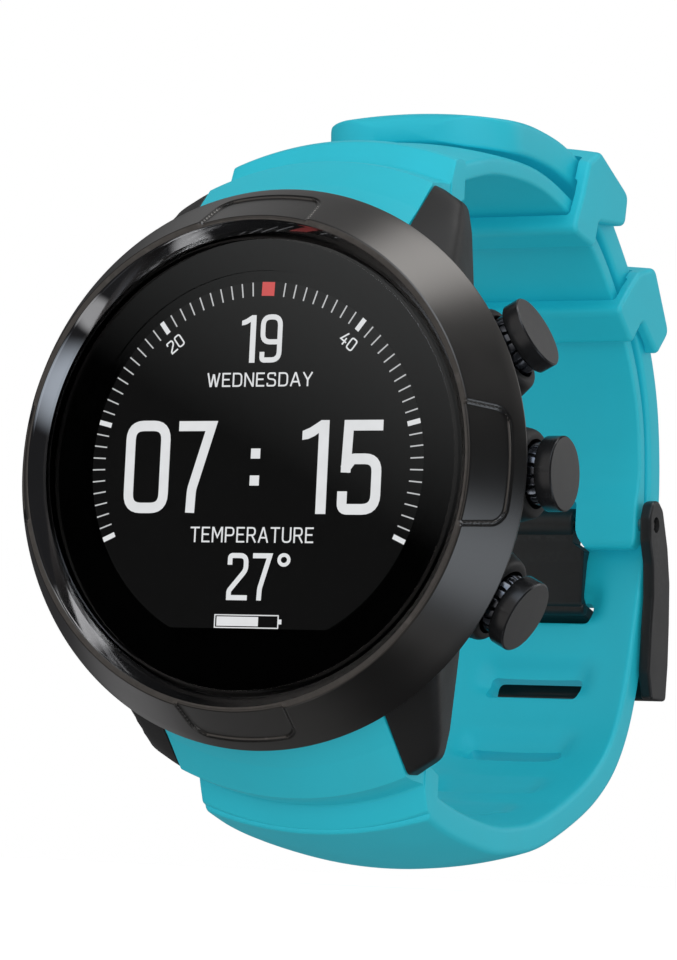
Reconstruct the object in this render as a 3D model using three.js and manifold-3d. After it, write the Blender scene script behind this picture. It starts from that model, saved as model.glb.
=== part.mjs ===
// Dive computer worn on the wrist: round case with three push buttons, and a buckled rubber strap.
// Millimetres. The display faces -Y, 12 o'clock points to +Z and the buttons stand on the +X side.
// The origin is the centre of the case back's flat face, which lies on the wrist.
import * as THREE from 'three';
import { mergeVertices } from 'three/addons/utils/BufferGeometryUtils.js';
import Module from 'manifold-3d';

const wasm = await Module();
wasm.setup();

// ---------------------------------------------------------------- driving dimensions
// Case and bezel: radii about the Y axis, and depths along it
const BEZEL_R = 26.4;
const BEZEL_REAR_Y = -10.7;
const BEZEL_WIDEST_Y = -11.1;
const RIM_R = 23.2;
const RIM_Y = -16.5;
const RIM_INNER_R = 22.5;
const CRYSTAL_SEAT_R = 21.6;
const CRYSTAL_SEAT_Y = -14.9;
const BEZEL_STEP_Y = -12.7;
const BEZEL_SKIRT_R = 23.7;
const CASE_FRONT_R = 25.4;
const CASE_FRONT_Y = -10.4;
const CASE_BACK_R = 20.8;
const CASE_BACK_Y = -0.4;
const CAVITY_R = 19.2;
const BACK_SEAT_R = 19;
const SPIGOT_Y = -12.4;
const WEB_FRONT_Y = -3.4;
const WEB_BACK_Y = -2.2;
const BACK_OPENING_R = 14;
const FIT_GAP = 0.3;

// Crystal and display
const CRYSTAL_R = 21.3;
const CRYSTAL_FACE_R = 20.5;
const CRYSTAL_FRONT_Y = -15.2;
const CRYSTAL_BACK_Y = -13.7;
const DISPLAY_R = 18.6;
const DISPLAY_FRONT_Y = -13.3;
const DISPLAY_BACK_Y = -11.6;

// Case back, its screws and the pressure sensor behind its four ports
const PLATE_R = 18.7;
const PLATE_FRONT_Y = -1.9;
const SEAL_GROOVE = [14.3, 15.7];
const SCREW_R = 17.3;
const SCREW_ANGLES = [60, 120, 240, 300];
const SENSOR_Z = -9;

// Tray and circuit board inside
const TRAY_R = 15.6;
const TRAY_Y = -11.3;
const BOARD_R = 14.6;
const BOARD_FRONT_Y = -10.2;
const BOARD_BACK_Y = -9.3;
const BOARD_FLAT_Z = 13.2;

// Charging contacts on the 9 o'clock side
const CONTACT_PAD_X = 24.2;
const CONTACT_Y = -6.5;
const CONTACT_ZS = [-3.6, 0, 3.6];

// Recessed panels on the bezel's cone, one at each quarter
const PANEL_HALF_WIDTH = 6;
const PANEL_DEPTH = 0.3;
const PANEL_END_Y = -12.4;

// Lugs and the end of the strap that fills the space between them
const LUG_INNER_X = 12;
const LUG_OUTER_X = 16.1;
const LUG_ROOT_X = 17;
const LUG_ROOT_Z = 13;
const RIDGE_R = 30.5;
const RIDGE_Y = -2.8;
const BAR_Y = -2.2;
const LUG_FRONT_Y = -9.8;
const LUG_BACK_Y = -0.2;
const LUG_DRAFT = 0.22;
const LUG_DRAFT_Y = -4.8;
const BAR_Z = 25.2;

// Buttons: places along the button's own axis, counted from the case centre
const BUTTON_ANGLES = { top: 28, middle: 0, bottom: -28 };
const BUTTON_Y = -6.3;
const CAP_R = 3.5;
const CAP_OUTER = 28.2;
const CAP_INNER = 26.6;
const COLLAR_R = 2.75;
const COLLAR_INNER = 25;
const STEM_R = 1.2;
const STEM_END = 18.2;
const BOSS_R = 3.9;
const BOSS_FACE = 25.3;
const BOSS_ROOT = 19.6;
const BOSS_ROOT_R = 5.5;
const BORE_STEP = 23.6;
const SLEEVE_R = 2.55;
const SLEEVE_OUTER = 23.3;
const SLEEVE_INNER = 19.7;

// Strap. LEVER_X is the place of the release lever along each spring bar.
const LEVER_X = 9.2;
const STRAP_HALF_WIDTH = 12;
const TAIL_THICKNESS = 3.4;
const UPPER_THICKNESS = 1.75;
const SLOT_WIDTH = 10.5;
const SLOT_HEIGHT = 2.4;
const SLOT_PITCH = 8.5;
const SLOTS_BEFORE_TONGUE = 5;
const SLOTS_AFTER_TONGUE = 3;
const TONGUE_SLOT = new THREE.Vector2(55.5, -7.75);
const KEEPER_HALF_WIDTH = 12.4;
const KEEPER_CLEARANCE = 0.45;

// Buckle
const BUCKLE_PIVOT_Y = 55.9;
const BUCKLE_PIVOT_Z = 1.2;
const BUCKLE_BAR_R = 0.65;
const BUCKLE_BORE_R = 0.85;
const ARM_INNER_X = 11.4;
const ARM_OUTER_X = 12.7;
const TONGUE_HALF_WIDTH = 4.8;
const HEEL_HALF_WIDTH = 3.5;
const HEEL_R = 1.7;

// ---------------------------------------------------------------- materials
const finish = (color, roughness, metalness) => (
  new THREE.MeshStandardMaterial({ color, roughness, metalness })
);
const MATERIALS = {
  bezel: finish(0x4a4644, 0.38, 0.9),
  case: finish(0x343434, 0.62, 0.1),
  crystal: finish(0x101214, 0.03, 0),
  display: finish(0x080809, 0.3, 0),
  button: finish(0x3b3b3c, 0.35, 0.8),
  steel: finish(0xa9acb0, 0.3, 1),
  strap: finish(0x2ba7bf, 0.6, 0),
  buckle: finish(0x151516, 0.4, 0.7),
  seal: finish(0x121212, 0.7, 0),
  plastic: finish(0x2a2c2f, 0.55, 0),
  board: finish(0x1b4a33, 0.5, 0),
  cell: finish(0x9aa0a6, 0.4, 0.6),
  gold: finish(0xc9a24a, 0.3, 1),
};

// ---------------------------------------------------------------- geometry helpers
const { smoothstep, lerp, clamp, degToRad: radians } = THREE.MathUtils;

/** A manifold solid of a closed geometry. */
function solid(geometry) {
  const bare = new THREE.BufferGeometry();
  bare.setAttribute('position', geometry.getAttribute('position').clone());
  if (geometry.index) bare.setIndex(geometry.index.clone());
  const merged = mergeVertices(bare, 1e-4);
  return new wasm.Manifold(new wasm.Mesh({
    numProp: 3,
    vertProperties: new Float32Array(merged.getAttribute('position').array),
    triVerts: new Uint32Array(merged.index.array),
  }));
}

/** The BufferGeometry of a manifold solid. */
function geometryOf(body) {
  const mesh = body.getMesh();
  const geometry = new THREE.BufferGeometry();
  geometry.setAttribute('position', new THREE.BufferAttribute(mesh.vertProperties, 3));
  geometry.setIndex(new THREE.BufferAttribute(mesh.triVerts, 1));
  geometry.computeVertexNormals();
  return geometry;
}

const join = (...bodies) => bodies.reduce((a, b) => a.add(b));
const cut = (body, ...tools) => tools.reduce((a, b) => a.subtract(b), body);

/** A body turned about the Y axis from a closed outline of [radius, y] points. */
function turned(outline, segments = 48) {
  const points = outline.map(([r, y]) => new THREE.Vector2(r, y));
  if (THREE.ShapeUtils.area(points) < 0) points.reverse();
  const onAxis = points.findIndex((p, i) => p.x === 0 && points[(i + 1) % points.length].x === 0);
  if (onAxis < 0) points.push(points[0].clone());
  const start = onAxis < 0 ? 0 : onAxis + 1;
  const ordered = onAxis < 0 ? points : [...points.slice(start), ...points.slice(0, start)];
  return new THREE.LatheGeometry(ordered, segments);
}

/** The same, turned about the X axis from [radius, x] points. */
const turnedX = (outline, segments = 16) => turned(outline, segments).rotateZ(-Math.PI / 2);

/** A plain rod between two places along Y. */
const rod = (radius, y0, y1, segments = 12) => (
  turned([[0, y0], [radius, y0], [radius, y1], [0, y1]], segments)
);

/** The same along X. */
const rodX = (radius, x0, x1, segments = 12) => rod(radius, x0, x1, segments).rotateZ(-Math.PI / 2);

/** A ring with a rectangular section. */
const ring = (inner, outer, y0, y1, segments = 48) => (
  turned([[inner, y0], [outer, y0], [outer, y1], [inner, y1]], segments)
);

/** An XZ outline pushed along Y from y0 to y1. */
function slabY(outline, y0, y1) {
  const shape = new THREE.Shape(outline.map(([x, z]) => new THREE.Vector2(x, -z)));
  const geometry = new THREE.ExtrudeGeometry(shape, { depth: y1 - y0, bevelEnabled: false });
  return geometry.rotateX(-Math.PI / 2).translate(0, y0, 0);
}

/** A YZ outline pushed along X from x0 to x1. */
function slabX(outline, x0, x1) {
  const shape = new THREE.Shape(outline.map(([y, z]) => new THREE.Vector2(y, z)));
  const geometry = new THREE.ExtrudeGeometry(shape, { depth: x1 - x0, bevelEnabled: false });
  return geometry.rotateX(Math.PI / 2).rotateZ(Math.PI / 2).translate(x0, 0, 0);
}

const box = (x0, x1, y0, y1, z0, z1) => new THREE.BoxGeometry(x1 - x0, y1 - y0, z1 - z0)
  .translate((x0 + x1) / 2, (y0 + y1) / 2, (z0 + z1) / 2);

/** A coil spring of round wire about the X axis. */
function coil(radius, wire, x0, x1, turns) {
  class Helix extends THREE.Curve {
    getPoint(t, target = new THREE.Vector3()) {
      const angle = t * turns * 2 * Math.PI;
      return target.set(lerp(x0, x1, t), radius * Math.cos(angle), radius * Math.sin(angle));
    }
  }
  const circle = new THREE.Path().absarc(0, 0, wire, 0, 2 * Math.PI).getPoints(2).slice(0, -1);
  const extrusion = { steps: turns * 8, extrudePath: new Helix(), bevelEnabled: false };
  return new THREE.ExtrudeGeometry(new THREE.Shape(circle), extrusion);
}

/** The signed volume inside an indexed mesh, positive when its faces point out. */
function signedVolume(vertices, faces) {
  const corner = (i) => new THREE.Vector3().fromArray(vertices, 3 * i);
  let six = 0;
  for (let i = 0; i < faces.length; i += 3) {
    six += corner(faces[i]).dot(corner(faces[i + 1]).cross(corner(faces[i + 2])));
  }
  return six / 6;
}

/** A closed skin through a row of rings, each given by its points in space and the same points laid out flat. */
function skin(rings) {
  const vertices = rings.flatMap(({ points }) => points.flatMap((p) => p.toArray()));
  const count = rings[0].points.length;
  const faces = [];
  for (let i = 0; i < rings.length - 1; i += 1) {
    for (let k = 0; k < count; k += 1) {
      const a = i * count + k;
      const b = i * count + ((k + 1) % count);
      faces.push(a, b, b + count, a, b + count, a + count);
    }
  }
  const last = (rings.length - 1) * count;
  THREE.ShapeUtils.triangulateShape(rings[0].outline, []).forEach(([a, b, c]) => faces.push(a, b, c));
  THREE.ShapeUtils.triangulateShape(rings[rings.length - 1].outline, [])
    .forEach(([a, b, c]) => faces.push(last + a, last + c, last + b));
  if (signedVolume(vertices, faces) < 0) faces.reverse();
  const geometry = new THREE.BufferGeometry();
  geometry.setAttribute('position', new THREE.Float32BufferAttribute(vertices, 3));
  geometry.setIndex(faces);
  return geometry;
}

/**
 * A band lofted along a path in the YZ plane. side is +1 where the band's outer face looks to the left of
 * the path, and -1 where it looks to the right. shapeAt(s) gives the section at arc length s: half width w,
 * the half width full that the crowns span, the heights low and high of the two faces at the edges, and how
 * far each face is crowned in the middle.
 */
function band(path, places, side, shapeAt) {
  const across = [-1, -0.95, -0.5, 0, 0.5, 0.95, 1];
  const below = [1, 0.45, -0.45, -1];
  return skin(places.map((s) => {
    const { w, full = w, low, high, crownLow, crownHigh, edge = 0.45 } = shapeAt(s);
    const arch = (f) => 1 - ((f * w) / full) ** 2;
    const outline = [
      ...across.map((f) => [f * w, high + crownHigh * arch(f) - (Math.abs(f) === 1 ? edge : 0)]),
      ...below.map((f) => [f * w, low + crownLow * arch(f)]),
    ].map(([x, n]) => new THREE.Vector2(x, n));
    const u = clamp(s / path.getLength(), 0, 1);
    const point = path.getPointAt(u);
    const tangent = path.getTangentAt(u);
    const normal = new THREE.Vector2(-tangent.y * side, tangent.x * side);
    const points = outline.map(({ x, y: n }) => (
      new THREE.Vector3(x, point.x + n * normal.x, point.y + n * normal.y)
    ));
    return { outline, points };
  }));
}

/** Evenly spaced values from one to another, both included. */
const spread = (from, to, steps) => Array.from({ length: steps + 1 }, (_, i) => lerp(from, to, i / steps));

/** The arc length at which a path passes closest to a point. */
function arcNear(path, point) {
  const places = spread(0, path.getLength(), 600);
  const gap = (s) => path.getPointAt(s / path.getLength()).distanceTo(point);
  return places.reduce((best, s) => (gap(s) < gap(best) ? s : best));
}

/** Places a geometry made at the origin, with its Z axis along the band's outer normal at arc length s. */
function onBand(geometry, path, side, s) {
  const point = path.getPointAt(s / path.getLength());
  const tangent = path.getTangentAt(s / path.getLength());
  const along = new THREE.Vector3(0, tangent.x, tangent.y);
  const normal = new THREE.Vector3(0, -tangent.y * side, tangent.x * side);
  const acrossAxis = new THREE.Vector3().crossVectors(along, normal);
  const matrix = new THREE.Matrix4().makeBasis(acrossAxis, along, normal);
  matrix.setPosition(0, point.x, point.y);
  return geometry.applyMatrix4(matrix);
}

// ---------------------------------------------------------------- assembly
const group = new THREE.Group();

function add(name, shape, material, parent = group) {
  const geometry = shape instanceof THREE.BufferGeometry ? shape : geometryOf(shape);
  const mesh = new THREE.Mesh(geometry, MATERIALS[material]);
  mesh.name = name;
  parent.add(mesh);
  return mesh;
}

// ---------------------------------------------------------------- case
const polar = (radius, degrees) => [radius * Math.cos(radians(degrees)), radius * Math.sin(radians(degrees))];

/** One solid at each case back screw. */
const atScrews = (make) => SCREW_ANGLES.map((angle) => {
  const [x, z] = polar(SCREW_R, angle);
  return make().translate(x, 0, z);
});

/** Turns a geometry made about the X axis to a button's place. */
const atButton = (geometry, degrees) => geometry.translate(0, BUTTON_Y, 0).rotateY(-radians(degrees));

/** The four lugs. Their outer sides lean in towards the back, and their fronts carry on one common cone. */
function lugs() {
  const outer = solid(turned([
    [20, LUG_FRONT_Y], [24.5, LUG_FRONT_Y], [RIDGE_R, RIDGE_Y], [RIDGE_R, LUG_BACK_Y - 0.5],
    [RIDGE_R - 0.5, LUG_BACK_Y], [20, LUG_BACK_Y],
  ]));
  const plan = (y) => {
    const lean = -LUG_DRAFT * (y - LUG_DRAFT_Y);
    const shape = new THREE.Shape();
    shape.moveTo(LUG_INNER_X, LUG_ROOT_Z);
    shape.lineTo(LUG_INNER_X, 31);
    shape.lineTo(14 + lean, 27.4);
    shape.quadraticCurveTo(15.8 + lean, 26.2, LUG_OUTER_X + lean, 23.6);
    shape.lineTo(LUG_ROOT_X + lean, LUG_ROOT_Z);
    return shape.getPoints(4);
  };
  const ringAt = (y, sx, sz) => ({
    outline: plan(y),
    points: plan(y).map(({ x, y: z }) => new THREE.Vector3(sx * x, y, sz * z)),
  });
  const corners = [[1, 1], [1, -1], [-1, 1], [-1, -1]];
  return join(...corners.map(([sx, sz]) => (
    outer.intersect(solid(skin([ringAt(-12, sx, sz), ringAt(2, sx, sz)])))
  )));
}

function caseMiddle() {
  const shell = solid(turned([
    [CAVITY_R, SPIGOT_Y], [BEZEL_SKIRT_R - FIT_GAP, SPIGOT_Y], [BEZEL_SKIRT_R - FIT_GAP, CASE_FRONT_Y],
    [CASE_FRONT_R, CASE_FRONT_Y], [CASE_BACK_R, CASE_BACK_Y],
    [BACK_SEAT_R, CASE_BACK_Y], [BACK_SEAT_R, WEB_BACK_Y],
    [BACK_OPENING_R, WEB_BACK_Y], [BACK_OPENING_R, WEB_FRONT_Y], [CAVITY_R, WEB_FRONT_Y],
  ]));
  const bossOutline = [
    [0, BOSS_ROOT], [BOSS_ROOT_R, BOSS_ROOT], [BOSS_R + 0.2, BOSS_FACE - 0.6], [BOSS_R - 0.1, BOSS_FACE],
    [0, BOSS_FACE],
  ];
  const boreOutline = [
    [0, 18], [SLEEVE_R + 0.2, 18], [SLEEVE_R + 0.2, BORE_STEP],
    [COLLAR_R + 0.4, BORE_STEP], [COLLAR_R + 0.4, 26], [0, 26],
  ];
  const angles = Object.values(BUTTON_ANGLES);
  const bosses = angles.map((a) => solid(atButton(turnedX(bossOutline), a)));
  const bores = angles.map((a) => solid(atButton(turnedX(boreOutline), a)));
  const inside = solid(rod(CAVITY_R, SPIGOT_Y - 1, WEB_FRONT_Y, 48));
  const contactPad = solid(box(-CONTACT_PAD_X, -20, -8.8, -4.2, -6.5, 6.5));
  const posts = atScrews(() => solid(rod(1.5, -7, WEB_BACK_Y - 0.2)));
  const screwHoles = atScrews(() => solid(rod(0.8, -6.4, 0)));
  const contactHoles = CONTACT_ZS.map((z) => solid(rodX(1, -26, -18).translate(0, CONTACT_Y, z)));
  const barHoles = [1, -1].map((sz) => solid(rodX(0.65, -13.4, 13.4).translate(0, BAR_Y, sz * BAR_Z)));
  const body = cut(join(shell, ...bosses, contactPad, lugs()), inside);
  return cut(join(body, ...posts), ...bores, ...screwHoles, ...contactHoles, ...barHoles);
}

function bezel() {
  const body = solid(turned([
    [CRYSTAL_SEAT_R, CRYSTAL_SEAT_Y], [RIM_INNER_R, RIM_Y + 0.2], [RIM_INNER_R + 0.15, RIM_Y], [RIM_R, RIM_Y],
    [BEZEL_R, BEZEL_WIDEST_Y], [BEZEL_R - 0.15, BEZEL_REAR_Y], [BEZEL_SKIRT_R, BEZEL_REAR_Y],
    [BEZEL_SKIRT_R, BEZEL_STEP_Y], [CRYSTAL_SEAT_R, BEZEL_STEP_Y],
  ], 56));
  const slope = (BEZEL_R - RIM_R) / (BEZEL_WIDEST_Y - RIM_Y);
  const coneR = (y) => RIM_R + slope * (y - RIM_Y);
  const frontY = RIM_Y - 0.3;
  const peel = solid(turned([
    [coneR(frontY) - PANEL_DEPTH, frontY], [coneR(frontY) + 1, frontY], [coneR(PANEL_END_Y) + 1, PANEL_END_Y],
    [coneR(PANEL_END_Y) - PANEL_DEPTH, PANEL_END_Y],
  ], 56));
  const panel = [
    [20, -PANEL_HALF_WIDTH + 1], [28, -PANEL_HALF_WIDTH - 0.8], [28, PANEL_HALF_WIDTH + 0.8],
    [20, PANEL_HALF_WIDTH - 1],
  ];
  const cuts = [0, 90, 180, 270].map((a) => (
    peel.intersect(solid(slabY(panel, -18, -11).rotateY(radians(a))))
  ));
  return cut(body, ...cuts);
}

function caseBack() {
  const [grooveIn, grooveOut] = SEAL_GROOVE;
  const plate = solid(turned([
    [0, PLATE_FRONT_Y], [grooveIn, PLATE_FRONT_Y], [grooveIn, -1.3], [grooveOut, -1.3],
    [grooveOut, PLATE_FRONT_Y], [PLATE_R, PLATE_FRONT_Y], [PLATE_R, -0.3], [PLATE_R - 0.3, 0], [0, 0],
  ]));
  const heads = atScrews(() => (
    solid(turned([[0, -3], [0.8, -3], [0.8, -1.1], [1.6, -1.1], [1.6, 1], [0, 1]], 16))
  ));
  const pocket = solid(rod(2.9, -3, -1.1, 20).translate(0, 0, SENSOR_Z));
  const ports = [45, 135, 225, 315].map((a) => {
    const [x, z] = polar(1.4, a);
    return solid(rod(0.45, -2, 1, 10).translate(x, 0, SENSOR_Z + z));
  });
  return cut(plate, ...heads, pocket, ...ports);
}

add('case_middle', caseMiddle(), 'case');
add('bezel', bezel(), 'bezel');
add('crystal', turned([
  [0, CRYSTAL_FRONT_Y], [CRYSTAL_FACE_R, CRYSTAL_FRONT_Y], [CRYSTAL_R, CRYSTAL_FRONT_Y + 0.4],
  [CRYSTAL_R, CRYSTAL_BACK_Y], [0, CRYSTAL_BACK_Y],
], 56), 'crystal');
add('crystal_gasket', ring(19.7, CRYSTAL_R - 0.1, CRYSTAL_BACK_Y + 0.3, BEZEL_STEP_Y), 'seal');
add('display_module', rod(DISPLAY_R, DISPLAY_FRONT_Y, DISPLAY_BACK_Y, 48), 'display');
add('case_back', caseBack(), 'steel');
add('case_back_gasket', ring(SEAL_GROOVE[0] + 0.2, SEAL_GROOVE[1] - 0.2, -2.05, -1.5), 'seal');
SCREW_ANGLES.forEach((angle, i) => {
  const body = solid(turned([[0, -6], [0.6, -6], [0.6, -0.95], [1.4, -0.95], [1.4, -0.1], [0, -0.1]], 12));
  const slot = solid(box(-1, 1, -0.5, 0.5, -0.2, 0.2));
  const [x, z] = polar(SCREW_R, angle);
  add(`case_back_screw_${i + 1}`, cut(body, slot), 'steel').position.set(x, 0, z);
});
CONTACT_ZS.forEach((z, i) => {
  const face = -CONTACT_PAD_X - 0.1;
  const pin = turnedX([[0, face], [0.8, face], [0.8, -21.5], [0.5, -21.5], [0.5, -18.4], [0, -18.4]], 12);
  add(`charging_contact_${i + 1}`, pin, 'gold').position.set(0, CONTACT_Y, z);
});

// ---------------------------------------------------------------- inside the case
function chassis() {
  const wall = TRAY_R - 0.7;
  const tray = solid(turned([
    [0, TRAY_Y], [TRAY_R, TRAY_Y], [TRAY_R, -4.3], [wall, -4.3], [wall, TRAY_Y + 0.8], [0, TRAY_Y + 0.8],
  ], 40));
  const tabs = SCREW_ANGLES.map((a) => (
    solid(box(15.2, 18.7, TRAY_Y, TRAY_Y + 1, -1.5, 1.5).rotateY(-radians(a)))
  ));
  return join(tray, ...tabs);
}

add('chassis', chassis(), 'plastic');
const boardDisc = rod(BOARD_R, BOARD_FRONT_Y, BOARD_BACK_Y, 40);
add('main_board', cut(solid(boardDisc), solid(box(-20, 20, -12, -8, BOARD_FLAT_Z, 20))), 'board');
add('battery', new THREE.BoxGeometry(20, 3.8, 14).translate(0, -7, 3.4), 'cell');
add('vibration_motor', rod(3.8, -8.9, -5.9, 16).translate(-4.5, 0, -8.8), 'steel');
add('buzzer', rod(3.8, -8.9, -6.6, 16).translate(4.5, 0, -8.8), 'plastic');
add('pressure_sensor', turned([
  [0, -3.9], [1.9, -3.9], [1.9, -2.1], [2.6, -2.1], [2.6, -1.4], [0, -1.4],
], 16).translate(0, 0, SENSOR_Z), 'steel');

// ---------------------------------------------------------------- buttons
Object.entries(BUTTON_ANGLES).forEach(([name, degrees]) => {
  const place = new THREE.Group();
  place.rotation.y = -radians(degrees);
  const axisHeight = new THREE.Group();
  axisHeight.position.y = BUTTON_Y;
  place.add(axisHeight);
  group.add(place);
  const chamfer = 0.3;
  add(`button_${name}`, turnedX([
    [0, STEM_END], [STEM_R, STEM_END], [STEM_R, 18.7], [0.8, 18.7], [0.8, 19.5], [STEM_R, 19.5], [STEM_R, 21],
    [0.8, 21], [0.8, 22], [STEM_R, 22], [STEM_R, COLLAR_INNER], [COLLAR_R, COLLAR_INNER],
    [COLLAR_R, CAP_INNER],
    [CAP_R - chamfer, CAP_INNER], [CAP_R, CAP_INNER + chamfer], [CAP_R, CAP_OUTER - chamfer],
    [CAP_R - chamfer, CAP_OUTER], [0, CAP_OUTER],
  ]), 'button', axisHeight);
  add(`button_${name}_sleeve`, turnedX([
    [1.45, SLEEVE_INNER], [SLEEVE_R, SLEEVE_INNER], [SLEEVE_R, SLEEVE_OUTER], [1.45, SLEEVE_OUTER],
  ]), 'steel', axisHeight);
  add(`button_${name}_spring`, coil(1.85, 0.28, BORE_STEP + 0.1, COLLAR_INNER - 0.4, 2), 'steel', axisHeight);
  add(`button_${name}_seal`, new THREE.TorusGeometry(1.13, 0.22, 5, 12).rotateY(Math.PI / 2)
    .translate(21.5, 0, 0), 'seal', axisHeight);
  const circlip = turnedX([[0.95, 18.95], [1.9, 18.95], [1.9, 19.3], [0.95, 19.3]]);
  add(`button_${name}_circlip`, circlip, 'steel', axisHeight);
  add(`button_${name}_switch`, box(15.9, 16.9, -1.5, 1.5, -1.5, 1.5), 'plastic', axisHeight);
});

// ---------------------------------------------------------------- strap
// Each half of the strap is a band along the line of its inner face, seen from the side.
const tailPath = new THREE.SplineCurve([
  [3.2, -29.1], [8.5, -30.5], [15.4, -31.6], [21.5, -31.9], [30, -31], [40.3, -27.7], [46.8, -24.4],
  [50.7, -20.6],
  [53.2, -15.6], [55.2, -8.7], [56.9, -1.5], [57.6, 5], [56.8, 12], [54.9, 17.2], [51.9, 21.6], [47.5, 26],
  [42.2, 30.4], [36.8, 33.3], [31.5, 34.7], [25.5, 35.1], [20.5, 34.9], [15.5, 34.3],
].map(([y, z]) => new THREE.Vector2(y, z)));
const upperPath = new THREE.SplineCurve([
  [3.2, 29.1], [10.9, 31.2], [18.8, 32], [25.2, 31.95], [31.4, 31.1], [36.3, 29.9], [41, 27.4], [45.8, 23.6],
  [50, 19.3], [52.9, 14.9], [54.5, 10.6], [55.2, 4.8], [55.2, -1.5],
].map(([y, z]) => new THREE.Vector2(y, z)));
const tailLength = tailPath.getLength();
const upperLength = upperPath.getLength();

const tailShape = (s) => {
  const toTip = Math.max(tailLength - s, 0);
  const tipRadius = 6;
  const round = toTip < tipRadius ? 1 - Math.sqrt(Math.max(1 - (1 - toTip / tipRadius) ** 2, 0)) : 0;
  const arched = smoothstep(s, 20, 62);
  const full = STRAP_HALF_WIDTH - 0.9 * smoothstep(s, 5, 65) - 0.7 * smoothstep(s, 65, 140);
  return {
    w: full - round * 7,
    full,
    low: 0,
    high: lerp(2.8, TAIL_THICKNESS, arched),
    crownLow: 1.25 * arched,
    crownHigh: lerp(1.9, 0.85, arched),
  };
};
const upperShape = (s) => {
  const end = smoothstep(s, upperLength - 8, upperLength - 4);
  return {
    w: STRAP_HALF_WIDTH - 1.1 * smoothstep(s, 5, 38),
    low: -0.9 * end,
    high: UPPER_THICKNESS,
    crownLow: 0,
    crownHigh: lerp(1.8, 0.5, smoothstep(s, 20, upperLength)),
  };
};

/** The sculpted end of a strap half: a ring segment that carries the case's cone on between the lugs. */
function strapEnd(sz) {
  const sweep = solid(turned([
    [25.4, -8.9], [RIDGE_R, RIDGE_Y], [30.95, -1.2], [31.6, 0.1], [32.5, 1.2], [33.4, 1.9], [33.65, 2.5],
    [33.5, 4.3], [30.2, 4.3],
    [29.2, 1.5], [21.9, 0.9], [CASE_BACK_R + 0.45, CASE_BACK_Y], [25.1, -8.8],
  ]));
  const half = STRAP_HALF_WIDTH;
  const neck = half - FIT_GAP;
  const plan = [
    [-neck, -10], [neck, -10], [neck, 1.3], [half, 1.5], [half, 6], [-half, 6], [-half, 1.5], [-neck, 1.3],
  ];
  const shape = new THREE.Shape(plan.map(([x, y]) => new THREE.Vector2(x, y)));
  const slab = new THREE.ExtrudeGeometry(shape, { depth: 20, bevelEnabled: false });
  slab.translate(0, 0, sz > 0 ? 17 : -37);
  const bore = rodX(1.15, -13, 13, 16).translate(0, BAR_Y, sz * BAR_Z);
  const leverSlot = box(6.2, 10.6, BAR_Y, 3, sz * BAR_Z - 0.8, sz * BAR_Z + 0.8);
  return { body: sweep.intersect(solid(slab)), tools: [solid(bore), solid(leverSlot)] };
}

function strapTail() {
  const places = [...spread(0, tailLength - 6, 34), ...[4, 2.2, 0.8, 0].map((left) => tailLength - left)];
  const end = strapEnd(-1);
  const body = join(solid(band(tailPath, places, -1, tailShape)), end.body);
  const tongueArc = arcNear(tailPath, TONGUE_SLOT);
  const slots = [];
  for (let k = -SLOTS_BEFORE_TONGUE; k <= SLOTS_AFTER_TONGUE; k += 1) {
    const hole = new THREE.BoxGeometry(SLOT_WIDTH, SLOT_HEIGHT, 16);
    slots.push(solid(onBand(hole, tailPath, -1, tongueArc + k * SLOT_PITCH)));
  }
  return cut(body, ...end.tools, ...slots);
}

function strapUpper() {
  const end = strapEnd(1);
  const body = join(solid(band(upperPath, spread(0, upperLength, 22), 1, upperShape)), end.body);
  const barBore = rodX(BUCKLE_BORE_R, -13, 13, 16).translate(0, BUCKLE_PIVOT_Y, BUCKLE_PIVOT_Z);
  const fork = box(-HEEL_HALF_WIDTH - 0.5, HEEL_HALF_WIDTH + 0.5, 50, 60, -3, 3.6);
  return cut(body, ...end.tools, solid(barBore), solid(fork));
}

add('strap_upper', strapUpper(), 'strap');
add('strap_tail', strapTail(), 'strap');

// ---------------------------------------------------------------- keepers
/**
 * One loop round both layers of the strap. side holds the [y, z] corners of its side, of which the first
 * outerCorners belong to the outer face and are crowned along the direction out.
 */
function keeper(side, out, outerCorners) {
  const xs = [-1, -0.92, -0.5, 0, 0.5, 0.92, 1];
  const rings = xs.map((f) => {
    const lift = 1.3 * (1 - f * f) - (Math.abs(f) === 1 ? 0.5 : 0);
    const outline = side.map(([y, z], i) => (
      new THREE.Vector2(y, z).addScaledVector(out, i < outerCorners ? lift : 0)
    ));
    return { outline, points: outline.map((p) => new THREE.Vector3(f * KEEPER_HALF_WIDTH, p.x, p.y)) };
  });
  const inner = { w: 11.55, low: -KEEPER_CLEARANCE, high: 4, crownLow: 0, crownHigh: 1.3 };
  const outer = { ...inner, low: -1, high: TAIL_THICKNESS + KEEPER_CLEARANCE };
  const inChannel = band(upperPath, spread(22, upperLength - 8, 12), 1, () => inner);
  const outChannel = band(tailPath, spread(tailLength * 0.53, tailLength - 10, 14), -1, () => outer);
  return cut(solid(skin(rings)), solid(inChannel), solid(outChannel));
}

add('keeper_front', keeper([
  [34.3, 36.6], [37.3, 38.2], [45.2, 35], [44.6, 31.6], [37.4, 30.9], [36.6, 28], [30.8, 28.9], [33, 33.2],
], new THREE.Vector2(0.38, 0.92), 3), 'strap');
add('keeper_rear', keeper([
  [49.2, 27.4], [53.6, 28.6], [58.3, 22.2], [55.2, 19.4], [50.6, 22.4], [47.9, 19.6], [43.6, 22.6],
  [46.6, 25.4],
], new THREE.Vector2(0.8, 0.6), 3), 'strap');

// ---------------------------------------------------------------- buckle
const atBuckle = (geometry) => solid(geometry.translate(0, BUCKLE_PIVOT_Y, BUCKLE_PIVOT_Z));

add('buckle_bar', atBuckle(rodX(BUCKLE_BAR_R, -12.3, 12.3, 16)), 'steel');

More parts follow.
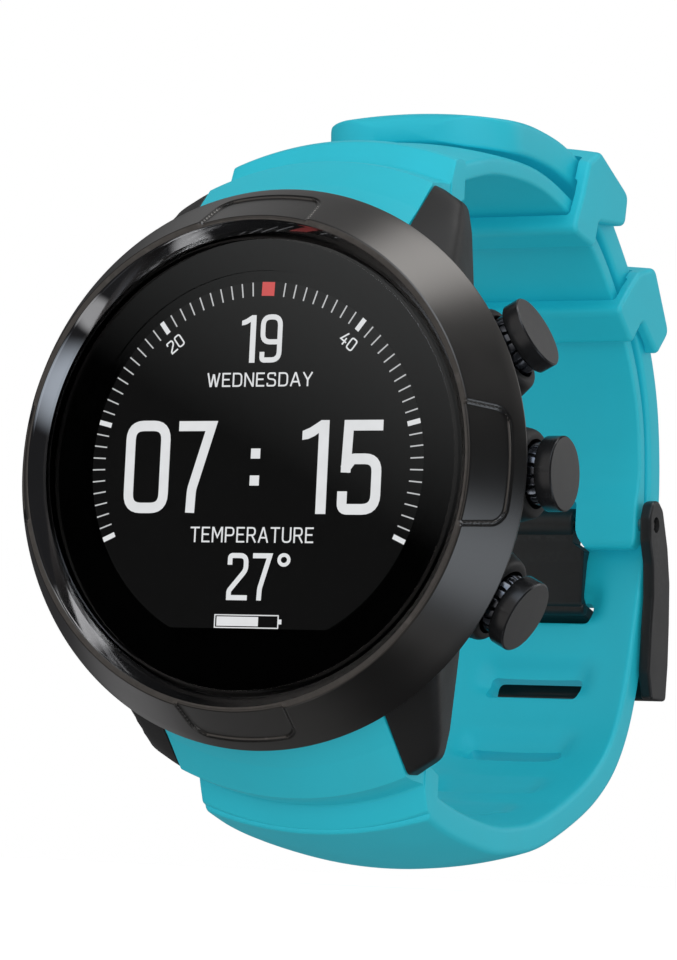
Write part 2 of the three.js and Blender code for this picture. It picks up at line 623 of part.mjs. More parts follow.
function buckleFrame() {
  const side = [
    [56.4, 3.9], [57.8, 3], [59.6, -0.9], [60.6, -4.7], [60.9, -9], [61, -13.5], [60.7, -17.4], [57.4, -17.4],
    [56.2, -14.6], [56.3, -10], [56.3, -6.5], [55.6, -3], [54.4, -0.6], [54.2, 1.8], [54.9, 3.5],
  ];
  const arms = [
    solid(slabX(side, ARM_INNER_X, ARM_OUTER_X)),
    solid(slabX(side, -ARM_OUTER_X, -ARM_INNER_X)),
  ];
  const bar = [[59.5, -14.2], [61.1, -14], [60.7, -17.4], [58.7, -17.4]];
  const crossbar = solid(slabX(bar, -ARM_OUTER_X + 0.1, ARM_OUTER_X - 0.1));
  return cut(join(...arms, crossbar), atBuckle(rodX(BUCKLE_BORE_R, -12.5, 12.5, 16)));
}

function buckleTongue() {
  const shank = [
    [57.2, -0.2], [56.1, -3], [55.6, -6.8], [56.3, -7.75], [60.6, -8.6], [62, -9.3], [62.5, -15.2],
    [61.9, -16.4],
    [61.3, -16], [61.2, -10.5], [60.3, -10], [56, -8.75], [54.6, -7.5], [54.7, -3], [54.7, 0.4],
  ];
  const heel = atBuckle(rodX(HEEL_R, -HEEL_HALF_WIDTH, HEEL_HALF_WIDTH, 20));
  const wide = solid(slabX(shank, -TONGUE_HALF_WIDTH, TONGUE_HALF_WIDTH));
  const neckCuts = [
    solid(box(HEEL_HALF_WIDTH, 8, 50, 60, -1.7, 4)),
    solid(box(-8, -HEEL_HALF_WIDTH, 50, 60, -1.7, 4)),
  ];
  return cut(join(cut(wide, ...neckCuts), heel), atBuckle(rodX(BUCKLE_BORE_R, -8, 8, 16)));
}

add('buckle_frame', buckleFrame(), 'buckle');
add('buckle_tongue', buckleTongue(), 'buckle');

// ---------------------------------------------------------------- quick-release spring bars
[['upper', 1], ['lower', -1]].forEach(([name, sz]) => {
  const place = new THREE.Group();
  place.position.set(0, BAR_Y, sz * BAR_Z);
  group.add(place);
  const tube = solid(turnedX([
    [0, -13], [0.5, -13], [0.5, -11.5], [0.9, -11.5], [0.9, 11.5], [0.62, 11.5], [0.62, 3.5], [0, 3.5],
  ], 16));
  const slot = solid(box(6.4, 10.4, 0, 2, -0.5, 0.5));
  add(`spring_bar_${name}`, cut(tube, slot), 'steel', place);
  const pin = solid(rodX(0.45, 6, 13));
  const lever = solid(rod(0.35, 0, 3, 8).translate(LEVER_X, 0, 0));
  const thumb = solid(rod(0.7, 2.6, 3.4).translate(LEVER_X, 0, 0));
  add(`release_pin_${name}`, join(pin, lever, thumb), 'steel', place);
  add(`bar_spring_${name}`, coil(0.38, 0.1, 3.8, 5.7, 3), 'steel', place);
});

export default group;
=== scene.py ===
import math

import bmesh
import bpy
from mathutils import Matrix, Vector


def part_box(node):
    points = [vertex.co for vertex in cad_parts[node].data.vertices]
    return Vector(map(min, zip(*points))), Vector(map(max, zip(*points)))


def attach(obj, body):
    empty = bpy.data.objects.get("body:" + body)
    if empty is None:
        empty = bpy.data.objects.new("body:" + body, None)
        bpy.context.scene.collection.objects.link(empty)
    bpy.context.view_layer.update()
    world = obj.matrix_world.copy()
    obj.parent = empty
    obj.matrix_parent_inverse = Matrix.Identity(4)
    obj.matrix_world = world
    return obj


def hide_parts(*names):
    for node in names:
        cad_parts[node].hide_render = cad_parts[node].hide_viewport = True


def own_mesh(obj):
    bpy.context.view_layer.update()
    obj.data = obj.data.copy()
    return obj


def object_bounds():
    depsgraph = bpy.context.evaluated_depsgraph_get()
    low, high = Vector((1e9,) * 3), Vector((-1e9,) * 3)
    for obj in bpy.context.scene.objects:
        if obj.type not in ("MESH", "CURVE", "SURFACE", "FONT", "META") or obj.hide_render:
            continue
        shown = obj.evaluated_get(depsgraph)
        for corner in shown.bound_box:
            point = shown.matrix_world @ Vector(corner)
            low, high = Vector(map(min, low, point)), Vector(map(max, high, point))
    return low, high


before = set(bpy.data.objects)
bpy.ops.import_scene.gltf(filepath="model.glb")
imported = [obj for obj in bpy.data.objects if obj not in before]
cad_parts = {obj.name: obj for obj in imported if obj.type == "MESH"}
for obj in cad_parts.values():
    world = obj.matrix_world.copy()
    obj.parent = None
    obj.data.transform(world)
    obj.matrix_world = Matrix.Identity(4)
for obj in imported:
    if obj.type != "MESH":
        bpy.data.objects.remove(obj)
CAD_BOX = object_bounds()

MM = 0.001
CASE = "case"


# ---- numbers
def lerp(a, b, t):
    return a + (b - a) * t


def sine(degrees):
    return math.sin(math.radians(degrees))


def cosine(degrees):
    return math.cos(math.radians(degrees))


def smoothstep(x, low, high):
    t = min(max((x - low) / (high - low), 0.0), 1.0)
    return t * t * (3 - 2 * t)


def spread(a, b, count):
    return [lerp(a, b, i / count) for i in range(count + 1)]


def quarter_round(distance, radius):
    """How far a rounded edge has dropped at a distance from its end."""
    if distance >= radius:
        return 0.0
    return radius - math.sqrt(max(radius**2 - (radius - distance) ** 2, 0.0))


def span(node):
    """Lowest and highest corner of a CAD node in millimetres."""
    low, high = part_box(node)
    return Vector(low) / MM, Vector(high) / MM


# ---- dimensions read from the CAD parts
BEZEL_LOW, BEZEL_HIGH = span("bezel")
BEZEL_R = BEZEL_HIGH.x
RIM_Y = BEZEL_LOW.y
BEZEL_REAR_Y = BEZEL_HIGH.y
CRYSTAL_LOW, CRYSTAL_HIGH = span("crystal")
CRYSTAL_R = CRYSTAL_HIGH.x
CRYSTAL_FRONT_Y, CRYSTAL_BACK_Y = CRYSTAL_LOW.y, CRYSTAL_HIGH.y
DISPLAY_HIGH = span("display_module")[1]
DISPLAY_R = DISPLAY_HIGH.x
DISPLAY_Y = CRYSTAL_BACK_Y + 0.14
BUTTON_LOW, BUTTON_HIGH = span("button_middle")
BUTTON_Y = (BUTTON_LOW.y + BUTTON_HIGH.y) / 2
CAP_R = (BUTTON_HIGH.z - BUTTON_LOW.z) / 2
CAP_OUTER = BUTTON_HIGH.x
STEM_END = BUTTON_LOW.x
BUTTON_ANGLES = {"top": 28, "middle": 0, "bottom": -28}
BACK_R = span("case_back")[1].x
STRAP_HALF = span("strap_upper")[1].x
BAR_LOW, BAR_HIGH = span("spring_bar_upper")
BAR_Y = -2.2
BAR_Z = (BAR_LOW.z + BAR_HIGH.z) / 2
BAR_BORE_R = 1.15
PIVOT_LOW, PIVOT_HIGH = span("buckle_bar")
PIVOT_Y = (PIVOT_LOW.y + PIVOT_HIGH.y) / 2
PIVOT_Z = (PIVOT_LOW.z + PIVOT_HIGH.z) / 2
PIVOT_R = (PIVOT_HIGH.z - PIVOT_LOW.z) / 2
PIVOT_BORE_R = 0.85
KEEPER_HALF = span("keeper_front")[1].x
ARM_OUTER = span("buckle_frame")[1].x
ARM_INNER = 11.4
FLOOR_Z = CAD_BOX[0].z / MM - 1.9


# ---- outlines and shapes
# A shape is a pair (vertices, faces); a mesh is a Blender mesh made from one.
def rounded(points, radii, steps=4, closed=True):
    """An outline with its corners curved by a radius, one for all or one for each corner."""
    count = len(points)
    radii = radii if isinstance(radii, (list, tuple)) else [radii] * count
    out = []
    for i, corner in enumerate(points):
        if radii[i] <= 0 or (not closed and i in (0, count - 1)):
            out.append(tuple(corner))
            continue
        here = Vector(corner)
        back = Vector(points[i - 1]) - here
        forth = Vector(points[(i + 1) % count]) - here
        reach = radii[i] / max(math.tan(back.angle(forth) / 2), 1e-3)
        reach = min(reach, 0.48 * back.length, 0.48 * forth.length)
        start = here + back.normalized() * reach
        end = here + forth.normalized() * reach
        for k in range(steps + 1):
            t = k / steps
            out.append(tuple(start * (1 - t) ** 2 + here * 2 * t * (1 - t) + end * t * t))
    return out


def inset(outline, distance):
    """An outline with every point moved inwards by a distance."""
    count = len(outline)
    points = [Vector(p) for p in outline]
    area = sum(points[i - 1].cross(points[i]) for i in range(count))
    turn = 1 if area > 0 else -1
    moved = []
    for i in range(count):
        normals = []
        for a, b in ((points[i - 1], points[i]), (points[i], points[(i + 1) % count])):
            along = b - a
            if along.length > 1e-6:
                normals.append(Vector((-along.y, along.x)).normalized() * turn)
        mean = sum(normals, Vector((0, 0)))
        mean = mean.normalized() if mean.length > 1e-6 else Vector((0, 0))
        moved.append(tuple(points[i] + mean * distance))
    return moved


def loft(rings):
    """A closed skin through a row of rings of equally many points."""
    count = len(rings[0])
    vertices = [p for ring in rings for p in ring]
    faces = []
    for i in range(len(rings) - 1):
        for k in range(count):
            a, b = i * count + k, i * count + (k + 1) % count
            faces.append((a, b, b + count, a + count))
    last = (len(rings) - 1) * count
    faces.append(tuple(range(count)))
    faces.append(tuple(range(last + count - 1, last - 1, -1)))
    return vertices, faces


def turned(outline, segments=128, axis="Y"):
    """A solid of revolution from a closed outline of (radius, height) points. Radius 0 makes a pole."""
    vertices, rings, faces = [], [], []
    for radius, height in outline:
        first = len(vertices)
        if radius < 1e-6:
            vertices.append((0.0, height, 0.0))
            rings.append([first])
            continue
        for k in range(segments):
            angle = 2 * math.pi * k / segments
            vertices.append((radius * math.sin(angle), height, radius * math.cos(angle)))
        rings.append(list(range(first, first + segments)))
    for i, here in enumerate(rings):
        there = rings[(i + 1) % len(rings)]
        if len(here) == 1 and len(there) == 1:
            continue
        for k in range(segments):
            n = (k + 1) % segments
            corners = [here[k % len(here)], there[k % len(there)], there[n % len(there)], here[n % len(here)]]
            faces.append(tuple(dict.fromkeys(corners)))
    if axis == "X":
        vertices = [(h, x, z) for x, h, z in vertices]
    return vertices, faces


def across(xs, outline_at):
    """A solid lofted along X, where outline_at(x) gives its (y, z) outline."""
    return loft([[(x, y, z) for y, z in outline_at(x)] for x in xs])


def bar_ends(x0, x1, radius, steps=4):
    """Places along X with how far the outline is inset there, so that both ends of a bar are rounded."""
    places = []
    for k in range(steps + 1):
        angle = math.pi / 2 * k / steps
        places.append((x0 + radius * (1 - math.cos(angle)), radius * (1 - math.sin(angle))))
    return places + [(x0 + x1 - x, d) for x, d in reversed(places)]


def slab(outline, x0, x1, edge=0.2):
    """A (y, z) outline pushed along X, with rounded end edges."""
    return loft([[(x, y, z) for y, z in inset(outline, d)] for x, d in bar_ends(x0, x1, edge)])


def rectangle(low_x, low_y, high_x, high_y):
    return [(low_x, low_y), (high_x, low_y), (high_x, high_y), (low_x, high_y)]


def block(x0, x1, y0, y1, z0, z1):
    return across([x0, x1], lambda _: rectangle(y0, z0, y1, z1))


def plug(radius, y0, y1, segments=24):
    """A plain cylinder along Y."""
    return turned(rectangle(0, y0, radius, y1), segments)


def rod(radius, x0, x1, segments=48, edge=0.08):
    """A rod along X with softened ends."""
    return turned(rounded(rectangle(0, x0, radius, x1), [0, edge, edge, 0]), segments, "X")


def placed(shape, matrix):
    vertices, faces = shape
    return [tuple(matrix @ Vector(v)) for v in vertices], faces


def moved(shape, x=0, y=0, z=0):
    return placed(shape, Matrix.Translation((x, y, z)))


def together(*shapes):
    vertices, faces = [], []
    for some_vertices, some_faces in shapes:
        first = len(vertices)
        vertices += some_vertices
        faces += [tuple(first + i for i in face) for face in some_faces]
    return vertices, faces


def at_button(shape, degrees):
    """Turns a shape made about the X axis to the place of the button at that angle."""
    turn = Matrix.Rotation(-math.radians(degrees), 4, "Y")
    return placed(shape, turn @ Matrix.Translation((0, BUTTON_Y, 0)))


# ---- meshes
def solid(shape):
    """A Blender mesh, in metres, with its faces pointing out."""
    vertices, faces = shape
    mesh = bpy.data.meshes.new("solid")
    mesh.from_pydata([[c * MM for c in v] for v in vertices], [], faces)
    bm = bmesh.new()
    bm.from_mesh(mesh)
    bmesh.ops.remove_doubles(bm, verts=bm.verts, dist=1e-4 * MM)
    bmesh.ops.recalc_face_normals(bm, faces=bm.faces)
    bm.to_mesh(mesh)
    bm.free()
    return mesh


def carve(mesh, tools, how="DIFFERENCE"):
    """A mesh with each tool cut from it, joined to it or intersected with it."""
    holder = bpy.data.objects.new("carve", mesh)
    bpy.context.collection.objects.link(holder)
    helpers = []
    for tool in tools:
        helper = bpy.data.objects.new("tool", tool)
        bpy.context.collection.objects.link(helper)
        helpers.append(helper)
        modifier = holder.modifiers.new("carve", "BOOLEAN")
        modifier.object = helper
        modifier.operation = how
        modifier.solver = "MANIFOLD"
    bpy.context.view_layer.update()
    made = bpy.data.meshes.new_from_object(holder.evaluated_get(bpy.context.evaluated_depsgraph_get()))
    for helper in [holder, *helpers]:
        bpy.data.objects.remove(helper)
    return made


def piece(name, mesh, material, body=CASE, stands_for=(), sharp=34, flats=True):
    """A shown piece made from a mesh, smooth except at edges sharper than an angle."""
    mesh.name = name
    obj = bpy.data.objects.new(name, mesh)
    bpy.context.collection.objects.link(obj)
    mesh.materials.clear()
    for one in material if isinstance(material, (list, tuple)) else [material]:
        mesh.materials.append(one)
    mesh.shade_smooth()
    mesh.set_sharp_from_angle(angle=math.radians(sharp))
    if flats:
        weighted = obj.modifiers.new("flat faces", "WEIGHTED_NORMAL")
        weighted.keep_sharp = True
    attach(obj, body)
    if stands_for:
        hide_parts(*stands_for)
    return obj


# ---- materials
def new_material(name):
    material = bpy.data.materials.new(name)
    material.use_nodes = True
    material.node_tree.nodes.clear()
    return material, material.node_tree


def node(tree, kind, inputs=None, **settings):
    """A shader node with its inputs set, or linked where a socket is given."""
    made = tree.nodes.new("ShaderNode" + kind)
    for key, value in settings.items():
        setattr(made, key, value)
    for key, value in (inputs or {}).items():
        if isinstance(value, bpy.types.NodeSocket):
            tree.links.new(value, made.inputs[key])
        else:
            made.inputs[key].default_value = value
    return made


def noise(tree, size_mm, detail=3.0, distortion=0.0):
    """Noise between 0 and 1 whose grains are about size_mm across, fixed to the object."""
    coordinates = node(tree, "TexCoord").outputs["Object"]
    made = node(tree, "TexNoise", {
        "Vector": coordinates, "Scale": 1 / (size_mm * MM), "Detail": detail, "Distortion": distortion,
    })
    return made.outputs["Fac"]


def remap(tree, value, low, high, start=0.3, end=0.7):
    made = node(tree, "MapRange", {
        "Value": value, "From Min": start, "From Max": end, "To Min": low, "To Max": high,
    })
    return made.outputs["Result"]


def mixed(tree, factor, first, second):
    made = node(tree, "Mix", data_type="RGBA")
    for key, value in (("Factor", factor), ("A", first), ("B", second)):
        sockets = [s for s in made.inputs if s.name == key and s.enabled]
        if isinstance(value, bpy.types.NodeSocket):
            tree.links.new(value, sockets[0])
        else:
            sockets[0].default_value = value
    return next(s for s in made.outputs if s.enabled)


def worn_edges(tree, low=0.52, high=0.6):
    """0 on faces and 1 on convex edges."""
    pointy = node(tree, "NewGeometry").outputs["Pointiness"]
    return remap(tree, pointy, 0.0, 1.0, low, high)


def surface(name, color, roughness, metallic=0.0, mottle=0.08, mottle_mm=5.0, grain_mm=0.12, bump_mm=0.004,
            gloss_spread=0.06, wear=0.0, wear_color=(0.35, 0.34, 0.33), stretch=None, **shader_inputs):
    """A Principled material with drifting colour and gloss, a fine grain in its bump, and rubbed edges."""
    material, tree = new_material(name)
    rgba = (*color, 1.0)
    dark = tuple(c * (1 - mottle) for c in color) + (1.0,)
    light = tuple(min(c * (1 + mottle), 1.0) for c in color) + (1.0,)
    cloud = noise(tree, mottle_mm, 4.0)
    base = mixed(tree, remap(tree, cloud, 0.0, 1.0), dark, light)
    if wear:
        scratched = node(tree, "Math", {
            0: worn_edges(tree), 1: remap(tree, noise(tree, 0.6, 5.0), 0.0, wear, 0.42, 0.62),
        }, operation="MULTIPLY")
        base = mixed(tree, scratched.outputs[0], base, (*wear_color, 1.0))
    fine = noise(tree, grain_mm, 5.0)
    if stretch:
        coordinates = node(tree, "TexCoord").outputs["Object"]
        pulled = node(tree, "Mapping", {"Vector": coordinates, "Scale": stretch})
        fine = node(tree, "TexNoise", {
            "Vector": pulled.outputs[0], "Scale": 1 / (grain_mm * MM), "Detail": 4.0,
        }).outputs["Fac"]
    rough = node(tree, "Math", {
        0: remap(tree, fine, roughness - gloss_spread / 2, roughness + gloss_spread / 2),
        1: remap(tree, cloud, -gloss_spread, gloss_spread, 0.2, 0.8),
    }, operation="ADD")
    bumped = node(tree, "Bump", {"Height": fine, "Distance": bump_mm * MM, "Strength": 1.0})
    shader = node(tree, "BsdfPrincipled", {
        "Base Color": base, "Roughness": rough.outputs[0], "Metallic": metallic, "Normal": bumped.outputs[0],
        **shader_inputs,
    })
    node(tree, "OutputMaterial", {"Surface": shader.outputs[0]})
    material.diffuse_color = rgba
    return material


def glass_material(name, mirrored_below):
    """Clear, faintly smeared glass. It mirrors less by the share that the surface below it mirrors."""
    material, tree = new_material(name)
    smear = noise(tree, 9.0, 3.0, 0.6)
    clear = node(tree, "BsdfTransparent", {"Color": (0.985, 0.99, 0.99, 1.0)})
    gloss = node(tree, "BsdfAnisotropic", {
        "Color": (1.0, 1.0, 1.0, 1.0), "Roughness": remap(tree, smear, 0.004, 0.012),
    })
    fresnel = node(tree, "Fresnel", {"IOR": 1.5})
    grazing = remap(tree, fresnel.outputs[0], 0.0, 1.0, mirrored_below, 1.0)
    from_behind = node(tree, "NewGeometry").outputs["Backfacing"]
    from_front = node(tree, "Math", {0: 1.0, 1: from_behind}, operation="SUBTRACT")
    mirrored = node(tree, "Math", {0: grazing, 1: from_front.outputs[0]}, operation="MULTIPLY")
    both = node(tree, "MixShader", {0: mirrored.outputs[0], 1: clear.outputs[0], 2: gloss.outputs[0]})
    node(tree, "OutputMaterial", {"Surface": both.outputs[0]})
    return material


def lit_material(name, color, strength, gloss=0.05):
    """A part of the display that shines: its own light, slightly uneven, over black."""
    material, tree = new_material(name)
    uneven = noise(tree, 1.5, 2.0)
    shader = node(tree, "BsdfPrincipled", {
        "Base Color": (0.0008, 0.0008, 0.0008, 1.0), "Roughness": 0.02, "Specular IOR Level": gloss,
        "Emission Color": (*color, 1.0),
        "Emission Strength": remap(tree, uneven, strength * 0.97, strength * 1.03),
    })
    node(tree, "OutputMaterial", {"Surface": shader.outputs[0]})
    return material


# The strap rubber shines faintly in its own colour (emission 0.2). This is a painted glow that lifts the
# shaded and hollow parts of the straps and keepers.
RUBBER_WITH_PAINTED_GLOW = surface(
    "strap_rubber_painted_glow", (0.012, 0.44, 0.55), 0.5, mottle=0.05, mottle_mm=14, grain_mm=0.18, bump_mm=0.006,
    gloss_spread=0.05,
    **{"Specular IOR Level": 0.5, "Emission Color": (0.012, 0.44, 0.55, 1.0), "Emission Strength": 0.2},
)
BEZEL_METAL = surface(
    "bezel_coating", (0.09, 0.087, 0.084), 0.3, metallic=1.0, mottle=0.05, mottle_mm=8, grain_mm=0.06,
    bump_mm=0.0008, gloss_spread=0.03, wear=0.12,
)
BEZEL_GLOSS = surface(
    "bezel_inner_gloss", (0.2, 0.2, 0.205), 0.05, metallic=1.0, mottle=0.05, grain_mm=0.5, bump_mm=0.0,
    gloss_spread=0.02,
)
CASE_BLACK = surface(
    "case_polyamide", (0.010, 0.010, 0.010), 0.5, mottle=0.12, mottle_mm=6, grain_mm=0.09, bump_mm=0.005,
    gloss_spread=0.08, wear=0.12, wear_color=(0.12, 0.12, 0.12), **{"Specular IOR Level": 0.32},
)
CAP_SIDE = surface(
    "button_coating", (0.026, 0.027, 0.029), 0.24, metallic=0.6, mottle=0.06, mottle_mm=2.5, grain_mm=0.05,
    bump_mm=0.0006, gloss_spread=0.03, wear=0.15,
)
CAP_FACE = surface(
    "button_face", (0.048, 0.048, 0.048), 0.55, mottle=0.07, mottle_mm=2, grain_mm=0.05, bump_mm=0.004,
    gloss_spread=0.06,
)
COLLAR_METAL = surface(
    "button_collar_metal", (0.12, 0.13, 0.15), 0.22, metallic=1.0, grain_mm=0.06, bump_mm=0.0008,
    gloss_spread=0.04,
)
STEEL = surface(
    "brushed_steel", (0.5, 0.49, 0.475), 0.3, metallic=1.0, mottle=0.05, grain_mm=0.09, bump_mm=0.0015,
    gloss_spread=0.08, wear=0.3, wear_color=(0.8, 0.79, 0.77), stretch=(0.05, 1, 1),
)
BACK_STEEL = surface(
    "case_back_steel", (0.36, 0.355, 0.35), 0.27, metallic=1.0, mottle=0.06, mottle_mm=9, grain_mm=0.1,
    bump_mm=0.0012, gloss_spread=0.07, wear=0.4, wear_color=(0.75, 0.74, 0.72), stretch=(1, 1, 0.06),
)
GOLD = surface("contact_gold", (0.83, 0.58, 0.22), 0.22, metallic=1.0, grain_mm=0.08, bump_mm=0.001, wear=0.3)
BUCKLE_BLACK = surface(
    "buckle_coating", (0.012, 0.012, 0.0125), 0.42, metallic=0.0, mottle=0.1, mottle_mm=4, grain_mm=0.07,
    bump_mm=0.002, gloss_spread=0.06, wear=0.25, wear_color=(0.11, 0.11, 0.11), **{"Specular IOR Level": 0.4},
)
SEAL = surface("seal_rubber", (0.012, 0.012, 0.013), 0.6, grain_mm=0.1, bump_mm=0.003)
INNER_PLASTIC = surface("inner_plastic", (0.03, 0.032, 0.036), 0.5, mottle=0.15, mottle_mm=3, bump_mm=0.006)
BOARD = surface("solder_mask", (0.015, 0.13, 0.065), 0.3, mottle=0.25, mottle_mm=1.4, bump_mm=0.01)
CELL = surface("cell_foil", (0.6, 0.61, 0.63), 0.33, metallic=0.8, mottle=0.06, mottle_mm=2.5, bump_mm=0.01)
DISPLAY_BLACK = surface(
    "display_black", (0.0008, 0.0008, 0.0008), 0.02, mottle=0.2, grain_mm=0.4, bump_mm=0.0, gloss_spread=0.01,
    **{"Specular IOR Level": 0.5},
)
PANEL_GLOW = lit_material("display_panel", (1.0, 1.0, 1.0), 0.0052, 0.5)
MARK_WHITE = lit_material("display_white", (0.98, 0.985, 1.0), 0.76)
MARK_DIM = lit_material("display_tick", (0.98, 0.985, 1.0), 0.55)
MARK_RED = lit_material("display_red", (1.0, 0.17, 0.165), 0.62)
GLASS = glass_material("crystal_glass", 0.05)
GLASS_EDGE = glass_material("crystal_edge_glass", 0.0)


# ---- bezel
CONE_ROWS = 48
PANEL_END = 4.75
PANEL_HALF, PANEL_TAPER = 5.78, 0.085
PANEL_CORNER = 1.5
PANEL_SPAN = 6.9  # half of the finely divided stretch about each panel
RIM_EDGE = 0.14
RIM_R = 23.2
GLOSS_R = 22.62  # inside this the bezel is polished
WIDEST_Y = -11.1
CONE_LENGTH = math.hypot(BEZEL_R - RIM_R, WIDEST_Y - RIM_Y)
CONE_ALONG = Vector((BEZEL_R - RIM_R, WIDEST_Y - RIM_Y)) / CONE_LENGTH
CONE_OUT = Vector((CONE_ALONG.y, -CONE_ALONG.x))


def panel_depth(side, along):
    """How deep the cone is cut: side runs across from a panel's middle, along runs from the rim."""
    half = PANEL_HALF - PANEL_TAPER * along
    from_side, from_end = half - abs(side), PANEL_END - along
    if from_side < PANEL_CORNER and from_end < PANEL_CORNER:
        inside = PANEL_CORNER - math.hypot(PANEL_CORNER - from_side, PANEL_CORNER - from_end)
    else:
        inside = min(from_side, from_end)
    lip = 0.12 * smoothstep(inside, 0.0, 0.12)
    bead = 0.06 * smoothstep(inside, 0.14, 0.22) * (1 - smoothstep(inside, 0.28, 0.36))
    return lip - bead + 0.1 * smoothstep(inside, 0.3, 0.42)


def bezel_mesh():
    angles = []
    for quarter in range(4):
        middle = quarter * 90
        angles += [middle + math.degrees(s / RIM_R) for s in spread(-PANEL_SPAN, PANEL_SPAN, 150)][:-1]
        edge = math.degrees(PANEL_SPAN / RIM_R)
        angles += spread(middle + edge, middle + 90 - edge, 44)[:-1]
    rim = rounded([
        (CRYSTAL_R + 0.3, -12.7), (CRYSTAL_R + 0.3, -14.9), (22.5, RIM_Y + 0.25), (22.65, RIM_Y),
        (RIM_R, RIM_Y), (BEZEL_R, WIDEST_Y), (BEZEL_R - 0.15, BEZEL_REAR_Y), (23.7, BEZEL_REAR_Y),
        (23.7, -12.7),
    ], [0, 0.1, 0.08, 0.08, 0, 0.16, 0.1, 0, 0])
    corner = rim.index((RIM_R, RIM_Y))
    rows = [(r, y, None) for r, y in rim[:corner]]
    rows += [(RIM_R - 0.1, RIM_Y, 0.0)]
    for along in spread(0, PANEL_END + 0.25, CONE_ROWS):
        place = Vector((RIM_R, RIM_Y)) + CONE_ALONG * along - CONE_OUT * quarter_round(along, RIM_EDGE)
        rows.append((place.x, place.y, along))
    rows += [(r, y, None) for r, y in rim[corner + 1:]]
    rings = []
    for degrees in angles:
        angle = math.radians(degrees)
        nearest = math.radians((degrees + 45) % 90 - 45)
        ring = []
        for radius, y, along in rows:
            if along is not None:
                depth = panel_depth(radius * math.sin(nearest), along)
                radius, y = radius - CONE_OUT.x * depth, y - CONE_OUT.y * depth
            ring.append((radius * math.cos(angle), y, radius * math.sin(angle)))
        rings.append(ring)
    vertices, faces = loft([*rings, rings[0]])
    return solid((vertices, faces[:-2]))


def make_bezel():
    mesh = bezel_mesh()
    piece("bezel_ring", mesh, [BEZEL_METAL, BEZEL_GLOSS], CASE, ["bezel"], 50, False)
    for face in mesh.polygons:
        radius = math.hypot(face.center.x, face.center.z) / MM
        if radius < GLOSS_R:
            face.material_index = 1


# ---- case
LUG_FRONT_Y, LUG_BACK_Y = -9.8, -0.2
LUG_INNER, LUG_OUTER, LUG_ROOT = 12.0, 16.1, 17.0
LUG_DRAFT, LUG_DRAFT_Y = 0.22, -4.8
LUG_SOFT = 0.55
RIDGE_R, RIDGE_Y = 30.5, -2.8
SCREW_ANGLES = (60, 120, 240, 300)
SCREW_R = 17.3
SENSOR_Z, PORT_RING = -9, 1.4
CONTACT_Y = -6.5
CONTACT_ZS = (-3.6, 0, 3.6)


def at_screws(shape):
    return [moved(shape, SCREW_R * cosine(a), 0, SCREW_R * sine(a)) for a in SCREW_ANGLES]


def wall_distance(angle, wall):
    """How far an outline lies from the middle in a direction, measured from the Z axis."""
    along = Vector((math.sin(angle), math.cos(angle)))
    for a, b in zip(wall, wall[1:]):
        a, b = Vector(a), Vector(b)
        side_a, side_b = along.cross(a), along.cross(b)
        if side_a * side_b <= 0 and side_a != side_b:
            return (a + (b - a) * side_a / (side_a - side_b)).length
    return Vector(wall[-1]).length


def lug_mesh(sx, sz):
    """One lug: drafted walls under the cone that the strap's ends carry on, with soft edges between."""
    cone = rounded([
        (24.5, LUG_FRONT_Y), (RIDGE_R, RIDGE_Y), (RIDGE_R, LUG_BACK_Y), (RIDGE_R - 1, LUG_BACK_Y),
    ], [0, 1.4, 0.5, 0], 6, closed=False)[:-1]
    depths = []
    for here, after in zip(cone, cone[1:]):
        steps = 8 if after[1] - here[1] > 2 else 1
        depths += [[lerp(a, b, k / steps) for a, b in zip(here, after)] for k in range(steps)]
    rings = [lug_ring(reach, y) for reach, y in [*depths, cone[-1]]]
    return solid(loft([[(sx * x, y, sz * z) for x, z in ring] for ring, y in rings]))


def lug_ring(reach, y):
    """The lug's outline at a depth, where the cone is that far from the middle."""
    lean = -LUG_DRAFT * (y - LUG_DRAFT_Y)
    back = quarter_round(LUG_BACK_Y - y, 0.5)
    wall = rounded([
        (11, 29.4), (14 + lean, 27.4), (15.6 + lean, 26.3), (LUG_OUTER + lean, 23.6), (LUG_ROOT + lean, 13),
    ], 1.8, 6, closed=False)
    start = math.asin((LUG_INNER + 0.12) / reach)
    end = math.atan2(LUG_ROOT + lean, 13)
    outer = []
    for angle in spread(start, end, 44):
        gap = wall_distance(angle, wall) - back - reach
        distance = reach + (gap - math.sqrt(gap**2 + LUG_SOFT**2)) / 2
        outer.append((distance * math.sin(angle), distance * math.cos(angle)))
    inner_top = (LUG_INNER, outer[0][1] - 0.12)
    return [(LUG_INNER, 13), inner_top, *outer], y


